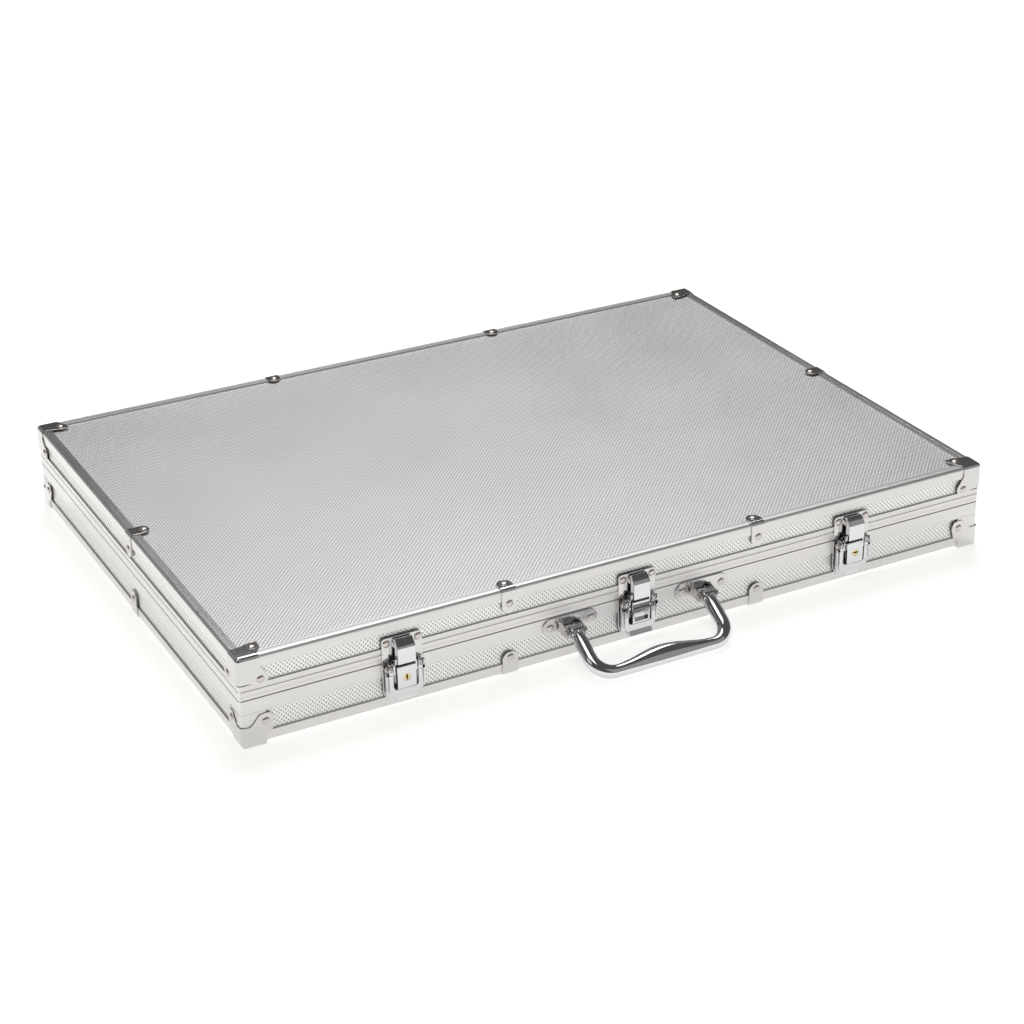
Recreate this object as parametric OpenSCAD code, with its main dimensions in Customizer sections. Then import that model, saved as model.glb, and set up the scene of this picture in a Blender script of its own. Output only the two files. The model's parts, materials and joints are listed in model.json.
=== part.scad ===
// Poker chip case: an aluminium-framed case with a hinged lid, three draw latches,
// a folding handle and foam trays for one thousand chips.
// Millimetres. X is the width, the latches and handle face -Y, and Z is up.

/* [Case] */
// Width over the corner caps
case_w = 560; // [556:1:564]
// Depth over the corner caps
case_d = 395; // [393:1:400]
// Height over the corner caps
case_h = 63; // [62.8:0.1:63.4]
// Height of the seam between base and lid
seam_z = 33; // [32.8:0.1:33.2]
// Gap between the two rims when the case is shut
seam_gap = 0.3; // [0.2:0.1:0.4]
// Radius of the rounded outer edges
edge_r = 3; // [2.5:0.1:3.5]

/* [Walls] */
// Thickness of the pressed steel caps and clips
cap_t = 0.8; // [0.6:0.1:0.8]
// Thickness of the aluminium extrusion flanges
flange_t = 1.2; // [1:0.1:1.3]
// Thickness of the faced board panels
board_t = 4; // [3.5:0.1:4.2]

/* [Latches] */
// Distance of the outer latches from the middle of the case
latch_x = 170; // [150:5:200]

/* [Handle] */
// Distance of each handle bracket from the middle of the case
bracket_x = 50; // [45:1:55]
// Diameter of the handle bar
bar_d = 10; // [9:0.5:10]
// Distance from the handle pivot to the middle of the grip bar
grip_reach = 34.3; // [33:0.1:36]

/* [Chips] */
// Diameter of a chip channel
channel_d = 41; // [40:0.5:41]
// Spacing of the chip channels
channel_pitch = 41.8; // [41.4:0.1:41.8]
// Length of a chip channel
channel_l = 172; // [150:1:175]
// Channels side by side in each chip tray
channel_n = 5; // [3:1:5]

/* [Hidden] */
$fn = 48;
soft_fn = 96;
eps = 0.01;

// Levels of the shell, measured inwards from the outer faces
panel_in = cap_t + flange_t;
wall_in = panel_in + board_t;
lip_in = 8;
mitre_in = 12;

// Heights of the front bands
base_edge_z = 8.5;
base_rim_z = 23;
base_board_z = 29;
base_top_z = seam_z - seam_gap / 2;
lid_low_z = seam_z + seam_gap / 2;
lid_board_z = 37;
lid_rim_z = 43.4;
lid_edge_z = 53.6;
tongue_out = 3.5;
tongue_t = 1.5;
tongue_h = 3.5;
skirt_in = tongue_out - 0.3;

// Handle pivot, as a distance out from the front face and a height
pivot_out = 8;
pivot_z = 22.5;
bar_r = bar_d / 2;
floor_gap = 0.3;
handle_rest = asin((pivot_z - bar_r - floor_gap) / grip_reach);

// Hinge axis, as a distance out from the back face
hinge_out = 3.5;
knuckle_r = 3;

// The case is placed so that the middle of the whole object is at the origin
front_span = grip_reach * cos(handle_rest) + bar_r + pivot_out - cap_t;
back_span = hinge_out + knuckle_r - cap_t;
case_y = (front_span - back_span) / 2;
front_y = case_y - case_d / 2;
back_y = case_y + case_d / 2;
face_y = front_y + cap_t;
rear_y = back_y - cap_t;
half_w = case_w / 2;
inner_w = case_w - 2 * wall_in;
inner_d = case_d - 2 * wall_in;

// Rivets
rivet_r = 2.7;
rivet_h = 1;
shank_r = 1.55;
hole_r = 1.6;

// Pins
hinge_pin_r = 1.5;
lever_pin_r = 1;
handle_pin_r = 1.6;
run_gap = 0.05;

// Corner caps, from the corner: plate size, and one rivet on each face
cap_w = 15;
cap_depth = 14;
cap_face_rivet = [15, 11.5];
lid_cap = [18.5, [15.3, 17], [15.9, 16.3], 5.2];
base_cap = [14.5, [16.8, 16], [15, 15.9], 6];

// Edge clips: place along the edge, leg lengths and rivet places
clip_x = 94;
clip_side_y = -3;
lid_clip = [10.4, 12, 7.5, 18, 11];
lid_side_clip = [10.4, 15.7, 11.7, 18, 12];
base_clip = [11.5, 12, 7.5, 16.8, 12.7];
base_side_clip = [10.4, 15.7, 11.7, 20, 12.7];

// Latch parts, as distances out from the front face and heights
plate_t = 1;
latch_half_w = 14;
lever_half_w = 13.2;
lever_window = 8.5;
lever_low_z = 6;
lever_bar_z = 15;
lever_face = [4, 5.5];
lever_top_z = 26.7;
lever_pivot = [4.3, 31.4];
hook_pivot = [3.3, 26.4];
lock_half_w = 6.5;
lock_z = [15.8, 31.4];
lock_out = 7;
plug_r = 2.5;
plug_z = 23.4;
plug_depth = 4;
hook_half_w = 6.3;
hook_arm_u = [6.9, 8.3];
catch_top_z = 47;
catch_rivet = [11, 46.8];

// Trays and padding
tray_top_z = 30;
tray_gap = 0.5;
tray_low_z = wall_in;
pad_low_z = 50.3;
pad_gap = 1.5;
side_tray_w = channel_n * channel_pitch + 1.5;
side_tray_x = inner_w / 2 - tray_gap - side_tray_w / 2;
mid_tray_w = inner_w - 2 * (side_tray_w + 2 * tray_gap);
tray_l = inner_d - 2 * tray_gap;
channel_y = tray_l / 4;
card_well = [94, 68, 20];
card_y = 144;
dice_well = [90, 20, 16];
dice_y = -80;
button_r = 26;
button_depth = 8;
key_well = [50, 16, 12];
key_y = 80;

// ---------- Shared shapes ----------

// A rectangle with round corners, about the origin
module round_rect(w, h, r) {
  square([w - 2 * r, h], center = true);
  square([w, h - 2 * r], center = true);
  for (x = [-1, 1], y = [-1, 1])
    translate([x * (w / 2 - r), y * (h / 2 - r)]) circle(r);
}

// The whole case as one block with round edges, inset from the outer faces
module skin(inset, r) {
  w = case_w - 2 * inset;
  d = case_d - 2 * inset;
  h = case_h - 2 * inset;
  translate([0, case_y, case_h / 2])
    intersection() {
      linear_extrude(h, center = true) round_rect(w, d, r);
      rotate([90, 0, 0]) linear_extrude(d, center = true) round_rect(w, h, r);
      rotate([90, 0, 90]) linear_extrude(w, center = true) round_rect(d, h, r);
    }
}

// A plain block inset from the side faces, between two heights
module block(inset, z0, z1) {
  translate([inset - half_w, front_y + inset, z0])
    cube([case_w - 2 * inset, case_d - 2 * inset, z1 - z0]);
}

// A rectangular ring between two insets, with square corners
module ring(outer, inner, z0, z1) {
  difference() {
    block(outer, z0, z1);
    block(inner, z0 - 1, z1 + 1);
  }
}

// The stretch of one side, with its ends cut at 45 degrees
module mitre(side, z0, z1) {
  turned = side == "left" || side == "right";
  far = side == "back" || side == "right";
  long_half = turned ? case_d / 2 : half_w;
  out = turned ? half_w : case_d / 2;
  translate([0, case_y, z0])
    linear_extrude(z1 - z0)
      rotate(turned ? -90 : 0)
        mirror([0, far ? 1 : 0])
          polygon([
            [-long_half, -out], [long_half, -out],
            [long_half - mitre_in, mitre_in - out], [mitre_in - long_half, mitre_in - out]
          ]);
}

// An outline in (distance out, height) drawn out along X at the front face
module profile_x(x0, x1) {
  translate([x0, face_y, 0])
    rotate([90, 0, 90])
      linear_extrude(x1 - x0)
        mirror([1, 0]) children();
}

// The same on both sides of a centre line, between two distances from it
module profile_pair(x, u0, u1) {
  profile_x(x + u0, x + u1) children();
  profile_x(x - u1, x - u0) children();
}

// An outline in (X, Z) drawn out from the front face
module plate_out(x, out0, out1) {
  translate([x, face_y - out0, 0])
    rotate([90, 0, 0])
      linear_extrude(out1 - out0) children();
}

// A round bar along X at a distance out and a height on the front face
module bar_x(x0, x1, at, r) {
  translate([x0, face_y - at[0], at[1]])
    rotate([0, 90, 0])
      cylinder(h = x1 - x0, r = r);
}

// Two bars, one on each side of a centre line
module bar_pair(x, u0, u1, at, r) {
  bar_x(x + u0, x + u1, at, r);
  bar_x(x - u1, x - u0, at, r);
}

// A dome-headed rivet standing on a plate, with its shank through that plate
module rivet(plate) {
  ball_r = (rivet_r * rivet_r + rivet_h * rivet_h) / (2 * rivet_h);
  intersection() {
    translate([0, 0, rivet_h - ball_r]) sphere(ball_r);
    cylinder(h = rivet_h, r = rivet_r + eps);
  }
  translate([0, 0, -plate]) cylinder(h = plate, r = shank_r);
}

// A flush rivet, level with the face that the case rests on
module flush_rivet() {
  translate([0, 0, -cap_t]) cylinder(h = cap_t, r = shank_r);
}

module front_rivet(x, z, out, plate) {
  translate([x, face_y - out, z]) rotate([90, 0, 0]) rivet(plate);
}

module rear_rivet(x, z, out, plate) {
  translate([x, rear_y + out, z]) rotate([-90, 0, 0]) rivet(plate);
}

// ---------- Panels ----------

module side_panel(side, z0, z1) {
  turned = side == "left" || side == "right";
  far = side == "back" || side == "right";
  w = turned ? board_t : case_w - 2 * panel_in;
  d = turned ? case_d - 2 * wall_in : board_t;
  x = turned ? (far ? half_w - wall_in : panel_in - half_w) : panel_in - half_w;
  y = turned ? front_y + wall_in : (far ? back_y - wall_in : front_y + panel_in);
  color("silver") translate([x, y, z0]) cube([w, d, z1 - z0]);
}

module base_panel() { color("silver") block(panel_in, panel_in, wall_in); }
module base_front_panel() { side_panel("front", wall_in, base_board_z); }
module base_back_panel() { side_panel("back", wall_in, base_board_z); }
module base_left_panel() { side_panel("left", wall_in, base_board_z); }
module base_right_panel() { side_panel("right", wall_in, base_board_z); }
module lid_panel() { color("silver") block(panel_in, case_h - wall_in, case_h - panel_in); }
module lid_front_panel() { side_panel("front", lid_board_z, case_h - wall_in); }
module lid_back_panel() { side_panel("back", lid_board_z, case_h - wall_in); }
module lid_left_panel() { side_panel("left", lid_board_z, case_h - wall_in); }
module lid_right_panel() { side_panel("right", lid_board_z, case_h - wall_in); }

// ---------- Aluminium extrusions ----------

// Angle extrusion round the bottom or the top of the case
module edge_extrusion(side, top) {
  z0 = top ? lid_edge_z : 0;
  z1 = top ? case_h : base_edge_z;
  core_z = top ? lid_edge_z - 1 : panel_in;
  core_top = top ? case_h - panel_in : base_edge_z + 1;
  color("gainsboro")
    intersection() {
      difference() {
        skin(cap_t, edge_r - cap_t);
        block(panel_in, core_z, core_top);
        block(lip_in, -1, case_h + 1);
      }
      mitre(side, z0, z1);
    }
}

// Base rim: a flange over the board, a flat top and a tongue that enters the lid
module base_rim(side) {
  color("gainsboro")
    intersection() {
      union() {
        difference() {
          skin(cap_t, edge_r - cap_t);
          block(panel_in, -1, base_board_z);
          block(wall_in, -1, case_h + 1);
          block(-1, base_top_z, case_h + 1);
        }
        ring(tongue_out, tongue_out + tongue_t, base_board_z, base_top_z + tongue_h);
      }
      mitre(side, base_rim_z, base_top_z + tongue_h);
    }
}

// Lid rim: a flange over the board and a skirt outside the tongue
module lid_rim(side) {
  color("gainsboro")
    intersection() {
      difference() {
        skin(cap_t, edge_r - cap_t);
        block(skirt_in, 0, case_h);
        block(panel_in, lid_board_z, case_h);
      }
      mitre(side, lid_low_z, lid_rim_z);
    }
}

module base_front_edge() { edge_extrusion("front", false); }
module base_back_edge() { edge_extrusion("back", false); }
module base_left_edge() { edge_extrusion("left", false); }
module base_right_edge() { edge_extrusion("right", false); }
module lid_front_edge() { edge_extrusion("front", true); }
module lid_back_edge() { edge_extrusion("back", true); }
module lid_left_edge() { edge_extrusion("left", true); }
module lid_right_edge() { edge_extrusion("right", true); }
module base_front_rim() { base_rim("front"); }
module base_back_rim() { base_rim("back"); }
module base_left_rim() { base_rim("left"); }
module base_right_rim() { base_rim("right"); }
module lid_front_rim() { lid_rim("front"); }
module lid_back_rim() { lid_rim("back"); }
module lid_left_rim() { lid_rim("left"); }
module lid_right_rim() { lid_rim("right"); }

// ---------- Corner caps and edge clips ----------

// Moves children from a corner at the origin to one corner of the case
module at_corner(sx, sy, top) {
  translate([sx * half_w, case_y + sy * case_d / 2, top ? case_h : 0])
    mirror([sx > 0 ? 1 : 0, 0, 0])
      mirror([0, sy > 0 ? 1 : 0, 0])
        mirror([0, 0, top ? 1 : 0]) children();
}

// Places children on one edge of the top or bottom, facing -Y from the origin
module at_edge(side, along, top) {
  turn = side == "front" ? 0 : side == "back" ? 180 : side == "left" ? -90 : 90;
  out = side == "front" || side == "back" ? case_d / 2 : half_w;
  dx = side == "front" || side == "back" ? along : 0;
  dy = side == "front" || side == "back" ? 0 : along;
  translate([dx, case_y + dy, top ? case_h : 0])
    rotate([0, 0, turn])
      translate([0, -out, 0])
        mirror([0, 0, top ? 1 : 0]) children();
}

// Turn a plan in (X, Y) to lie on the front or on the left face
module on_front_face() { rotate([90, 0, 0]) mirror([0, 0, 1]) children(); }
module on_left_face() { rotate([90, 0, 90]) children(); }

// The stretch of the round-edged skin that one corner cap covers
module cap_zone(cap) {
  linear_extrude(edge_r) {
    square([cap_w, cap_depth]);
    translate(cap_face_rivet) circle(cap[3]);
  }
  on_front_face()
    linear_extrude(edge_r) {
      square([cap_w, cap[0]]);
      translate(cap[1]) circle(cap[3]);
    }
  on_left_face()
    linear_extrude(edge_r) {
      square([cap_depth, cap[0]]);
      translate(cap[2]) circle(cap[3]);
    }
}

// The three rivet places of one cap, each with +Z out of the face
module at_cap_rivets(cap, with_face) {
  if (with_face)
    translate([cap_face_rivet[0], cap_face_rivet[1], 0]) mirror([0, 0, 1]) children();
  translate([cap[1][0], 0, cap[1][1]]) rotate([90, 0, 0]) children();
  translate([0, cap[2][0], cap[2][1]]) rotate([0, -90, 0]) children();
}

module corner_caps(cap, top) {
  color("whitesmoke")
    difference() {
      intersection() {
        difference() {
          skin(0, edge_r);
          skin(cap_t, edge_r - cap_t);
        }
        for (sx = [-1, 1], sy = [-1, 1])
          at_corner(sx, sy, top) cap_zone(cap);
      }
      for (sx = [-1, 1], sy = [-1, 1])
        at_corner(sx, sy, top)
          at_cap_rivets(cap, true)
            translate([0, 0, -2 * cap_t]) cylinder(h = 3 * cap_t, r = hole_r);
    }
}

// The stretch of skin that one clip covers: a leg on the flat face and one down the side
module clip_zone(clip) {
  r = clip[0] / 2;
  linear_extrude(edge_r) {
    translate([-r, 0]) square([clip[0], clip[1] - r]);
    translate([0, clip[1] - r]) circle(r);
  }
  on_front_face()
    linear_extrude(edge_r) {
      translate([-r, 0]) square([clip[0], clip[3] - r]);
      translate([0, clip[3] - r]) circle(r);
    }
}

module at_clip_rivets(clip, with_face) {
  if (with_face)
    translate([0, clip[2], 0]) mirror([0, 0, 1]) children();
  translate([0, 0, clip[4]]) rotate([90, 0, 0]) children();
}

// Both pairs of front and back clips, and one on each end
module at_long_clips(top) {
  for (x = [-clip_x, clip_x]) {
    at_edge("front", x, top) children();
    at_edge("back", x, top) children();
  }
}

module at_end_clips(top) {
  at_edge("left", clip_side_y, top) children();
  at_edge("right", clip_side_y, top) children();
}

module edge_clips(clip, side_clip, top) {
  color("whitesmoke")
    difference() {
      intersection() {
        difference() {
          skin(0, edge_r);
          skin(cap_t, edge_r - cap_t);
        }
        union() {
          at_long_clips(top) clip_zone(clip);
          at_end_clips(top) clip_zone(side_clip);
        }
      }
      at_long_clips(top)
        at_clip_rivets(clip, true)
          translate([0, 0, -2 * cap_t]) cylinder(h = 3 * cap_t, r = hole_r);
      at_end_clips(top)
        at_clip_rivets(side_clip, true)
          translate([0, 0, -2 * cap_t]) cylinder(h = 3 * cap_t, r = hole_r);
    }
}

module base_corner_caps() { corner_caps(base_cap, false); }
module lid_corner_caps() { corner_caps(lid_cap, true); }
module base_edge_clips() { edge_clips(base_clip, base_side_clip, false); }
module lid_edge_clips() { edge_clips(lid_clip, lid_side_clip, true); }

// ---------- Hinges ----------

hinge_x = 170;
leaf_w = 50;
leaf_t = 1.2;
leaf_rivet_x = 19;
knuckle_l = 10;
knuckle_gap = 0.15;
leaf_reach = 9.8;
leaf_clear = knuckle_r + 0.5;
leaf_rivet_z = 6.6;

// One knuckle barrel of a leaf, joined down to its plate
module knuckle(mid, up) {
  half = knuckle_l / 2 - knuckle_gap;
  translate([mid - half, rear_y + hinge_out, seam_z])
    rotate([0, 90, 0]) cylinder(h = 2 * half, r = knuckle_r);
  translate([mid - half, rear_y, up ? seam_z + 0.6 : seam_z - leaf_clear])
    cube([2 * half, leaf_t, leaf_clear - 0.6]);
}

// A riveted leaf with barrels at the given places; the lid leaf points up
module hinge_leaf(x, barrels, up, bore_r) {
  z0 = up ? seam_z + leaf_clear : seam_z - leaf_reach;
  difference() {
    union() {
      translate([x - leaf_w / 2, rear_y, z0]) cube([leaf_w, leaf_t, leaf_reach - leaf_clear]);
      for (b = barrels) knuckle(x + b * knuckle_l, up);
    }
    translate([x - leaf_w, rear_y + hinge_out, seam_z])
      rotate([0, 90, 0]) cylinder(h = 2 * leaf_w, r = bore_r);
    for (u = [-leaf_rivet_x, 0, leaf_rivet_x])
      translate([x + u, rear_y - 1, up ? seam_z + leaf_rivet_z : seam_z - leaf_rivet_z])
        rotate([-90, 0, 0]) cylinder(h = leaf_t + 2, r = hole_r);
  }
}

module hinge_base_leaves() {
  color("silver")
    for (x = [-hinge_x, hinge_x]) hinge_leaf(x, [-2, 0, 2], false, hinge_pin_r);
}

module hinge_lid_leaves() {
  color("silver")
    for (x = [-hinge_x, hinge_x]) hinge_leaf(x, [-1, 1], true, hinge_pin_r + run_gap);
}

module hinge_pins() {
  color("dimgray")
    for (x = [-hinge_x, hinge_x])
      translate([x - leaf_w / 2, rear_y + hinge_out, seam_z])
        rotate([0, 90, 0]) cylinder(h = leaf_w, r = hinge_pin_r);
}

// ---------- Latches ----------

lever_corner_r = 8;
lever_flange_t = 1;
lever_flange_in = 1.6;
barrel_r = 3;
web_u = [8.6, 9.8];
ear_u = [10.1, 11.1];
barrel_u = [11.4, 13.2];
ear_r = 2.4;

// A U-shaped plate outline: round lower corners, a window and a cut for the base ears
module lever_outline() {
  difference() {
    union() {
      translate([-lever_half_w, lever_low_z + lever_corner_r])
        square([2 * lever_half_w, lever_top_z - lever_low_z - lever_corner_r]);
      translate([lever_corner_r - lever_half_w, lever_low_z])
        square([2 * (lever_half_w - lever_corner_r), lever_corner_r + eps]);
      for (x = [-1, 1])
        translate([x * (lever_half_w - lever_corner_r), lever_low_z + lever_corner_r])
          circle(lever_corner_r);
    }
    translate([-lever_window, lever_bar_z]) square([2 * lever_window, case_h]);
  }
}

// The plate that joins a lever leg to its pivot barrel
module barrel_web() {
  translate(lever_pivot) circle(barrel_r);
  translate([lever_pivot[0] - barrel_r, lever_top_z - 4])
    square([lever_face[1] - lever_pivot[0] + barrel_r, lever_pivot[1] - lever_top_z + 4]);
}

// Lever: a finger-operated frame that turns about the ears of its base plate
module latch_lever(x, lip) {
  color("gainsboro")
    difference() {
      union() {
        plate_out(x, lever_face[0], lever_face[1]) lever_outline();
        profile_pair(x, barrel_u[0], barrel_u[1]) barrel_web();
        profile_pair(x, web_u[0], web_u[1]) {
          barrel_web();
          translate([hook_pivot[0] - 1.7, hook_pivot[1] - 2.4]) square([3.9, 7]);
        }
        profile_pair(x, lever_half_w - lever_flange_t, lever_half_w)
          translate([lever_flange_in, lever_low_z + lever_corner_r])
            square([lever_face[0] - lever_flange_in + eps, lever_top_z - lever_low_z - lever_corner_r]);
        plate_out(x, lever_face[0], lever_face[1] + lip)
          translate([lever_corner_r - lever_half_w, lever_low_z])
            square([2 * (lever_half_w - lever_corner_r), 2]);
      }
      bar_pair(x, lever_window - 1, lever_half_w + 1, lever_pivot, lever_pin_r + run_gap);
      bar_pair(x, web_u[0] - 1, web_u[1], hook_pivot, lever_pin_r);
    }
}

// Hook: two arms on the lever's pins, a broad face and a lip over the catch
module latch_hook(x) {
  low = lock_z[1] + 0.8;
  color("gainsboro")
    difference() {
      union() {
        profile_x(x - hook_half_w, x + hook_half_w)
          polygon([
            [3.2, low], [5, low], [5, 33.6], [8, 33.6], [8, 45.3],
            [2.6, 49.8], [1.5, 49.8], [1.5, catch_top_z + 0.3], [3.2, catch_top_z + 0.3]
          ]);
        profile_x(x - hook_arm_u[1], x + hook_arm_u[1])
          polygon([[3.2, low], [5, low], [5, 36.5], [3.2, 36.5]]);
        profile_pair(x, hook_arm_u[0], hook_arm_u[1]) {
          translate(hook_pivot) circle(2);
          polygon([[1.9, hook_pivot[1]], [5, hook_pivot[1] + 1], [5, low + 1], [1.9, low + 1]]);
        }
      }
      bar_pair(x, hook_arm_u[0] - 1, hook_arm_u[1] + 1, hook_pivot, lever_pin_r + run_gap);
    }
}

// The pins that carry the hook, fixed in the lever's webs
module hook_pins(x) {
  color("dimgray") bar_pair(x, hook_arm_u[0], web_u[1], hook_pivot, lever_pin_r);
}

module left_lever() { latch_lever(-latch_x, 0.5); }
module middle_lever() { latch_lever(0, 2); }
module right_lever() { latch_lever(latch_x, 0.5); }
module left_hook() { latch_hook(-latch_x); }
module middle_hook() { latch_hook(0); }
module right_hook() { latch_hook(latch_x); }
module left_hook_pins() { hook_pins(-latch_x); }
module middle_hook_pins() { hook_pins(0); }
module right_hook_pins() { hook_pins(latch_x); }

// Base plates with two ears each that hold the lever pins
module latch_base_plates() {
  low = 5.5;
  color("silver")
    for (x = [-latch_x, 0, latch_x])
      difference() {
        union() {
          plate_out(x, 0, plate_t) {
            translate([-latch_half_w, low + lever_corner_r])
              square([2 * latch_half_w, base_top_z - 0.5 - low - lever_corner_r]);
            translate([lever_corner_r - latch_half_w, low])
              square([2 * (latch_half_w - lever_corner_r), lever_corner_r + eps]);
            for (s = [-1, 1])
              translate([s * (latch_half_w - lever_corner_r), low + lever_corner_r])
                circle(lever_corner_r);
          }
          profile_pair(x, ear_u[0], ear_u[1]) {
            translate(lever_pivot) circle(ear_r);
            translate([plate_t - eps, lever_pivot[1] - ear_r])
              square([lever_pivot[0] - plate_t + eps, ear_r]);
          }
        }
        bar_pair(x, ear_u[0] - 1, ear_u[1] + 1, lever_pivot, lever_pin_r);
      }
}

module lever_pins() {
  color("dimgray")
    for (x = [-latch_x, 0, latch_x])
      bar_pair(x, web_u[0], barrel_u[1], lever_pivot, lever_pin_r);
}

// Housing that stands in the window of a lever
module lock_tile(x) {
  profile_x(x - lock_half_w, x + lock_half_w)
    translate([plate_t, lock_z[0]])
      square([lock_out - plate_t, lock_z[1] - lock_z[0]]);
}

module lock_body(x) {
  color("gainsboro")
    difference() {
      lock_tile(x);
      translate([x, face_y - lock_out + plug_depth, plug_z])
        rotate([90, 0, 0]) cylinder(h = plug_depth + 1, r = plug_r + run_gap);
    }
}

// Key plug with a slot: keyway is the angle of the slot from upright
module lock_plug(x, keyway) {
  slot = [0.9, 3.6];
  color("goldenrod")
    translate([x, face_y - lock_out + plug_depth - run_gap, plug_z])
      rotate([90, 0, 0])
        difference() {
          cylinder(h = plug_depth, r = plug_r);
          translate([0, 0, plug_depth])
            rotate(keyway) cube([slot[0], slot[1], 2 * slot[0] + 3], center = true);
        }
}

module left_lock_body() { lock_body(-latch_x); }
module right_lock_body() { lock_body(latch_x); }
module left_lock_plug() { lock_plug(-latch_x, 0); }
module right_lock_plug() { lock_plug(latch_x, 90); }

// The middle latch has no lock: a ribbed cover with a pocket fills its window
module middle_latch_cover() {
  rib = 1.6;
  pocket_z = 25;
  color("gainsboro")
    difference() {
      lock_tile(0);
      plate_out(0, lock_out - 2.5, lock_out + 1)
        translate([1.5 - lock_half_w, lock_z[0] + 1.5])
          square([2 * lock_half_w - 3, pocket_z - lock_z[0] - 3]);
      plate_out(0, lock_out - 1, lock_out + 1)
        for (z = [pocket_z, pocket_z + 2 * rib])
          translate([-lock_half_w - 1, z]) square([2 * lock_half_w + 2, rib]);
    }
}

// Catch plates on the lid, each with a ledge under the hook's lip
module catch_plates() {
  top = 50.5;
  ledge = [2.9, 43.5];
  color("silver")
    for (x = [-latch_x, 0, latch_x])
      difference() {
        union() {
          plate_out(x, 0, plate_t)
            translate([-latch_half_w, lid_low_z + 0.2])
              square([2 * latch_half_w, top - lid_low_z - 0.2]);
          profile_x(x - hook_half_w, x + hook_half_w)
            translate([plate_t - eps, ledge[1]])
              square([ledge[0] - plate_t, catch_top_z - ledge[1]]);
        }
        for (s = [-1, 1])
          plate_out(x, -1, plate_t + 1) translate([s * catch_rivet[0], catch_rivet[1]]) circle(hole_r);
      }
}

// ---------- Handle ----------

bracket_z = 26;
bracket_w = 40.5;
bracket_h = 13;
bracket_rivet_x = 15;
handle_ear_u = [5.6, 6.8];
handle_ear_r = 3.2;
pin_head = [7.8, 2.6];
grip_bend_r = 13;
swell_in = 4.1;
swell_half_l = 24;

// Round-ended plates, each with two ears that carry the cross pin
module handle_brackets() {
  pivot = [pivot_out, pivot_z];
  color("whitesmoke")
    for (x = [-bracket_x, bracket_x])
      difference() {
        union() {
          plate_out(x, 0, plate_t)
            translate([0, bracket_z]) {
              square([bracket_w - bracket_h, bracket_h], center = true);
              for (s = [-1, 1]) translate([s * (bracket_w - bracket_h) / 2, 0]) circle(bracket_h / 2);
            }
          profile_pair(x, handle_ear_u[0], handle_ear_u[1]) {
            translate(pivot) circle(handle_ear_r);
            polygon([
              [plate_t - eps, bracket_z - 5.5], [pivot_out, pivot_z - handle_ear_r],
              [pivot_out, pivot_z + handle_ear_r], [plate_t - eps, bracket_z + 4.5]
            ]);
          }
        }
        bar_x(x - bracket_w / 2, x + bracket_w / 2, pivot, handle_pin_r);
        for (s = [-1, 1])
          plate_out(x, -1, plate_t + 1) translate([s * bracket_rivet_x, bracket_z]) circle(hole_r);
      }
}

// Headed cross pins
module handle_pins() {
  pivot = [pivot_out, pivot_z];
  color("gainsboro")
    for (x = [-bracket_x, bracket_x]) {
      bar_x(x - pin_head[0], x + pin_head[0], pivot, handle_pin_r);
      bar_pair(x, handle_ear_u[1], pin_head[0], pivot, pin_head[1]);
    }
}

// Radius of the grip swelling at a distance along it: a shallow arc
swell_arc_r = (swell_half_l * swell_half_l + bar_r * bar_r) / (2 * bar_r);
function swell_r(u) = sqrt(swell_arc_r * swell_arc_r - u * u) - swell_arc_r + bar_r;

// Bow in its own plane: X along the grip, -Y away from the pivots
module bow_flat() {
  leg = grip_reach - grip_bend_r;
  swell_step = 4;
  for (s = [-1, 1]) {
    translate([s * bracket_x, 0, 0]) rotate([90, 0, 0]) cylinder(h = leg, r = bar_r);
    translate([s * bracket_x - bar_r, 0, 0]) rotate([0, 90, 0]) cylinder(h = bar_d, r = bar_r);
    translate([s * (bracket_x - grip_bend_r), -leg, 0])
      rotate([0, 0, s > 0 ? -90 : 180])
        rotate_extrude(angle = 90) translate([grip_bend_r, 0]) circle(bar_r);
  }
  translate([grip_bend_r - bracket_x, -grip_reach, 0])
    rotate([0, 90, 0]) cylinder(h = 2 * (bracket_x - grip_bend_r), r = bar_r);
  translate([0, swell_in - grip_reach, 0])
    rotate([0, 90, 0])
      rotate_extrude()
        polygon([
          [0, -swell_half_l],
          for (u = [-swell_half_l : swell_step : swell_half_l]) [max(swell_r(u), eps), u],
          [0, swell_half_l]
        ]);
}

// The bow lies with its grip just off the surface under the case
module handle_bow() {
  color("gainsboro")
    translate([0, face_y - pivot_out, pivot_z])
      difference() {
        rotate([handle_rest, 0, 0]) bow_flat();
        for (x = [-bracket_x, bracket_x])
          translate([x - bar_d, 0, 0])
            rotate([0, 90, 0]) cylinder(h = 2 * bar_d, r = handle_pin_r + run_gap);
      }
}

// ---------- Rivets ----------

module cap_rivets(cap, top) {
  for (sx = [-1, 1], sy = [-1, 1])
    at_corner(sx, sy, top) {
      at_cap_rivets(cap, top) rivet(cap_t);
      if (!top)
        translate([cap_face_rivet[0], cap_face_rivet[1], 0]) mirror([0, 0, 1]) flush_rivet();
    }
}

module clip_rivets(clip, side_clip, top) {
  at_long_clips(top) {
    at_clip_rivets(clip, top) rivet(cap_t);
    if (!top) translate([0, clip[2], 0]) mirror([0, 0, 1]) flush_rivet();
  }
  at_end_clips(top) {
    at_clip_rivets(side_clip, top) rivet(cap_t);
    if (!top) translate([0, side_clip[2], 0]) mirror([0, 0, 1]) flush_rivet();
  }
}

module leaf_rivets(z) {
  for (x = [-hinge_x, hinge_x], u = [-leaf_rivet_x, 0, leaf_rivet_x])
    rear_rivet(x + u, z, leaf_t, leaf_t);
}

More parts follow.
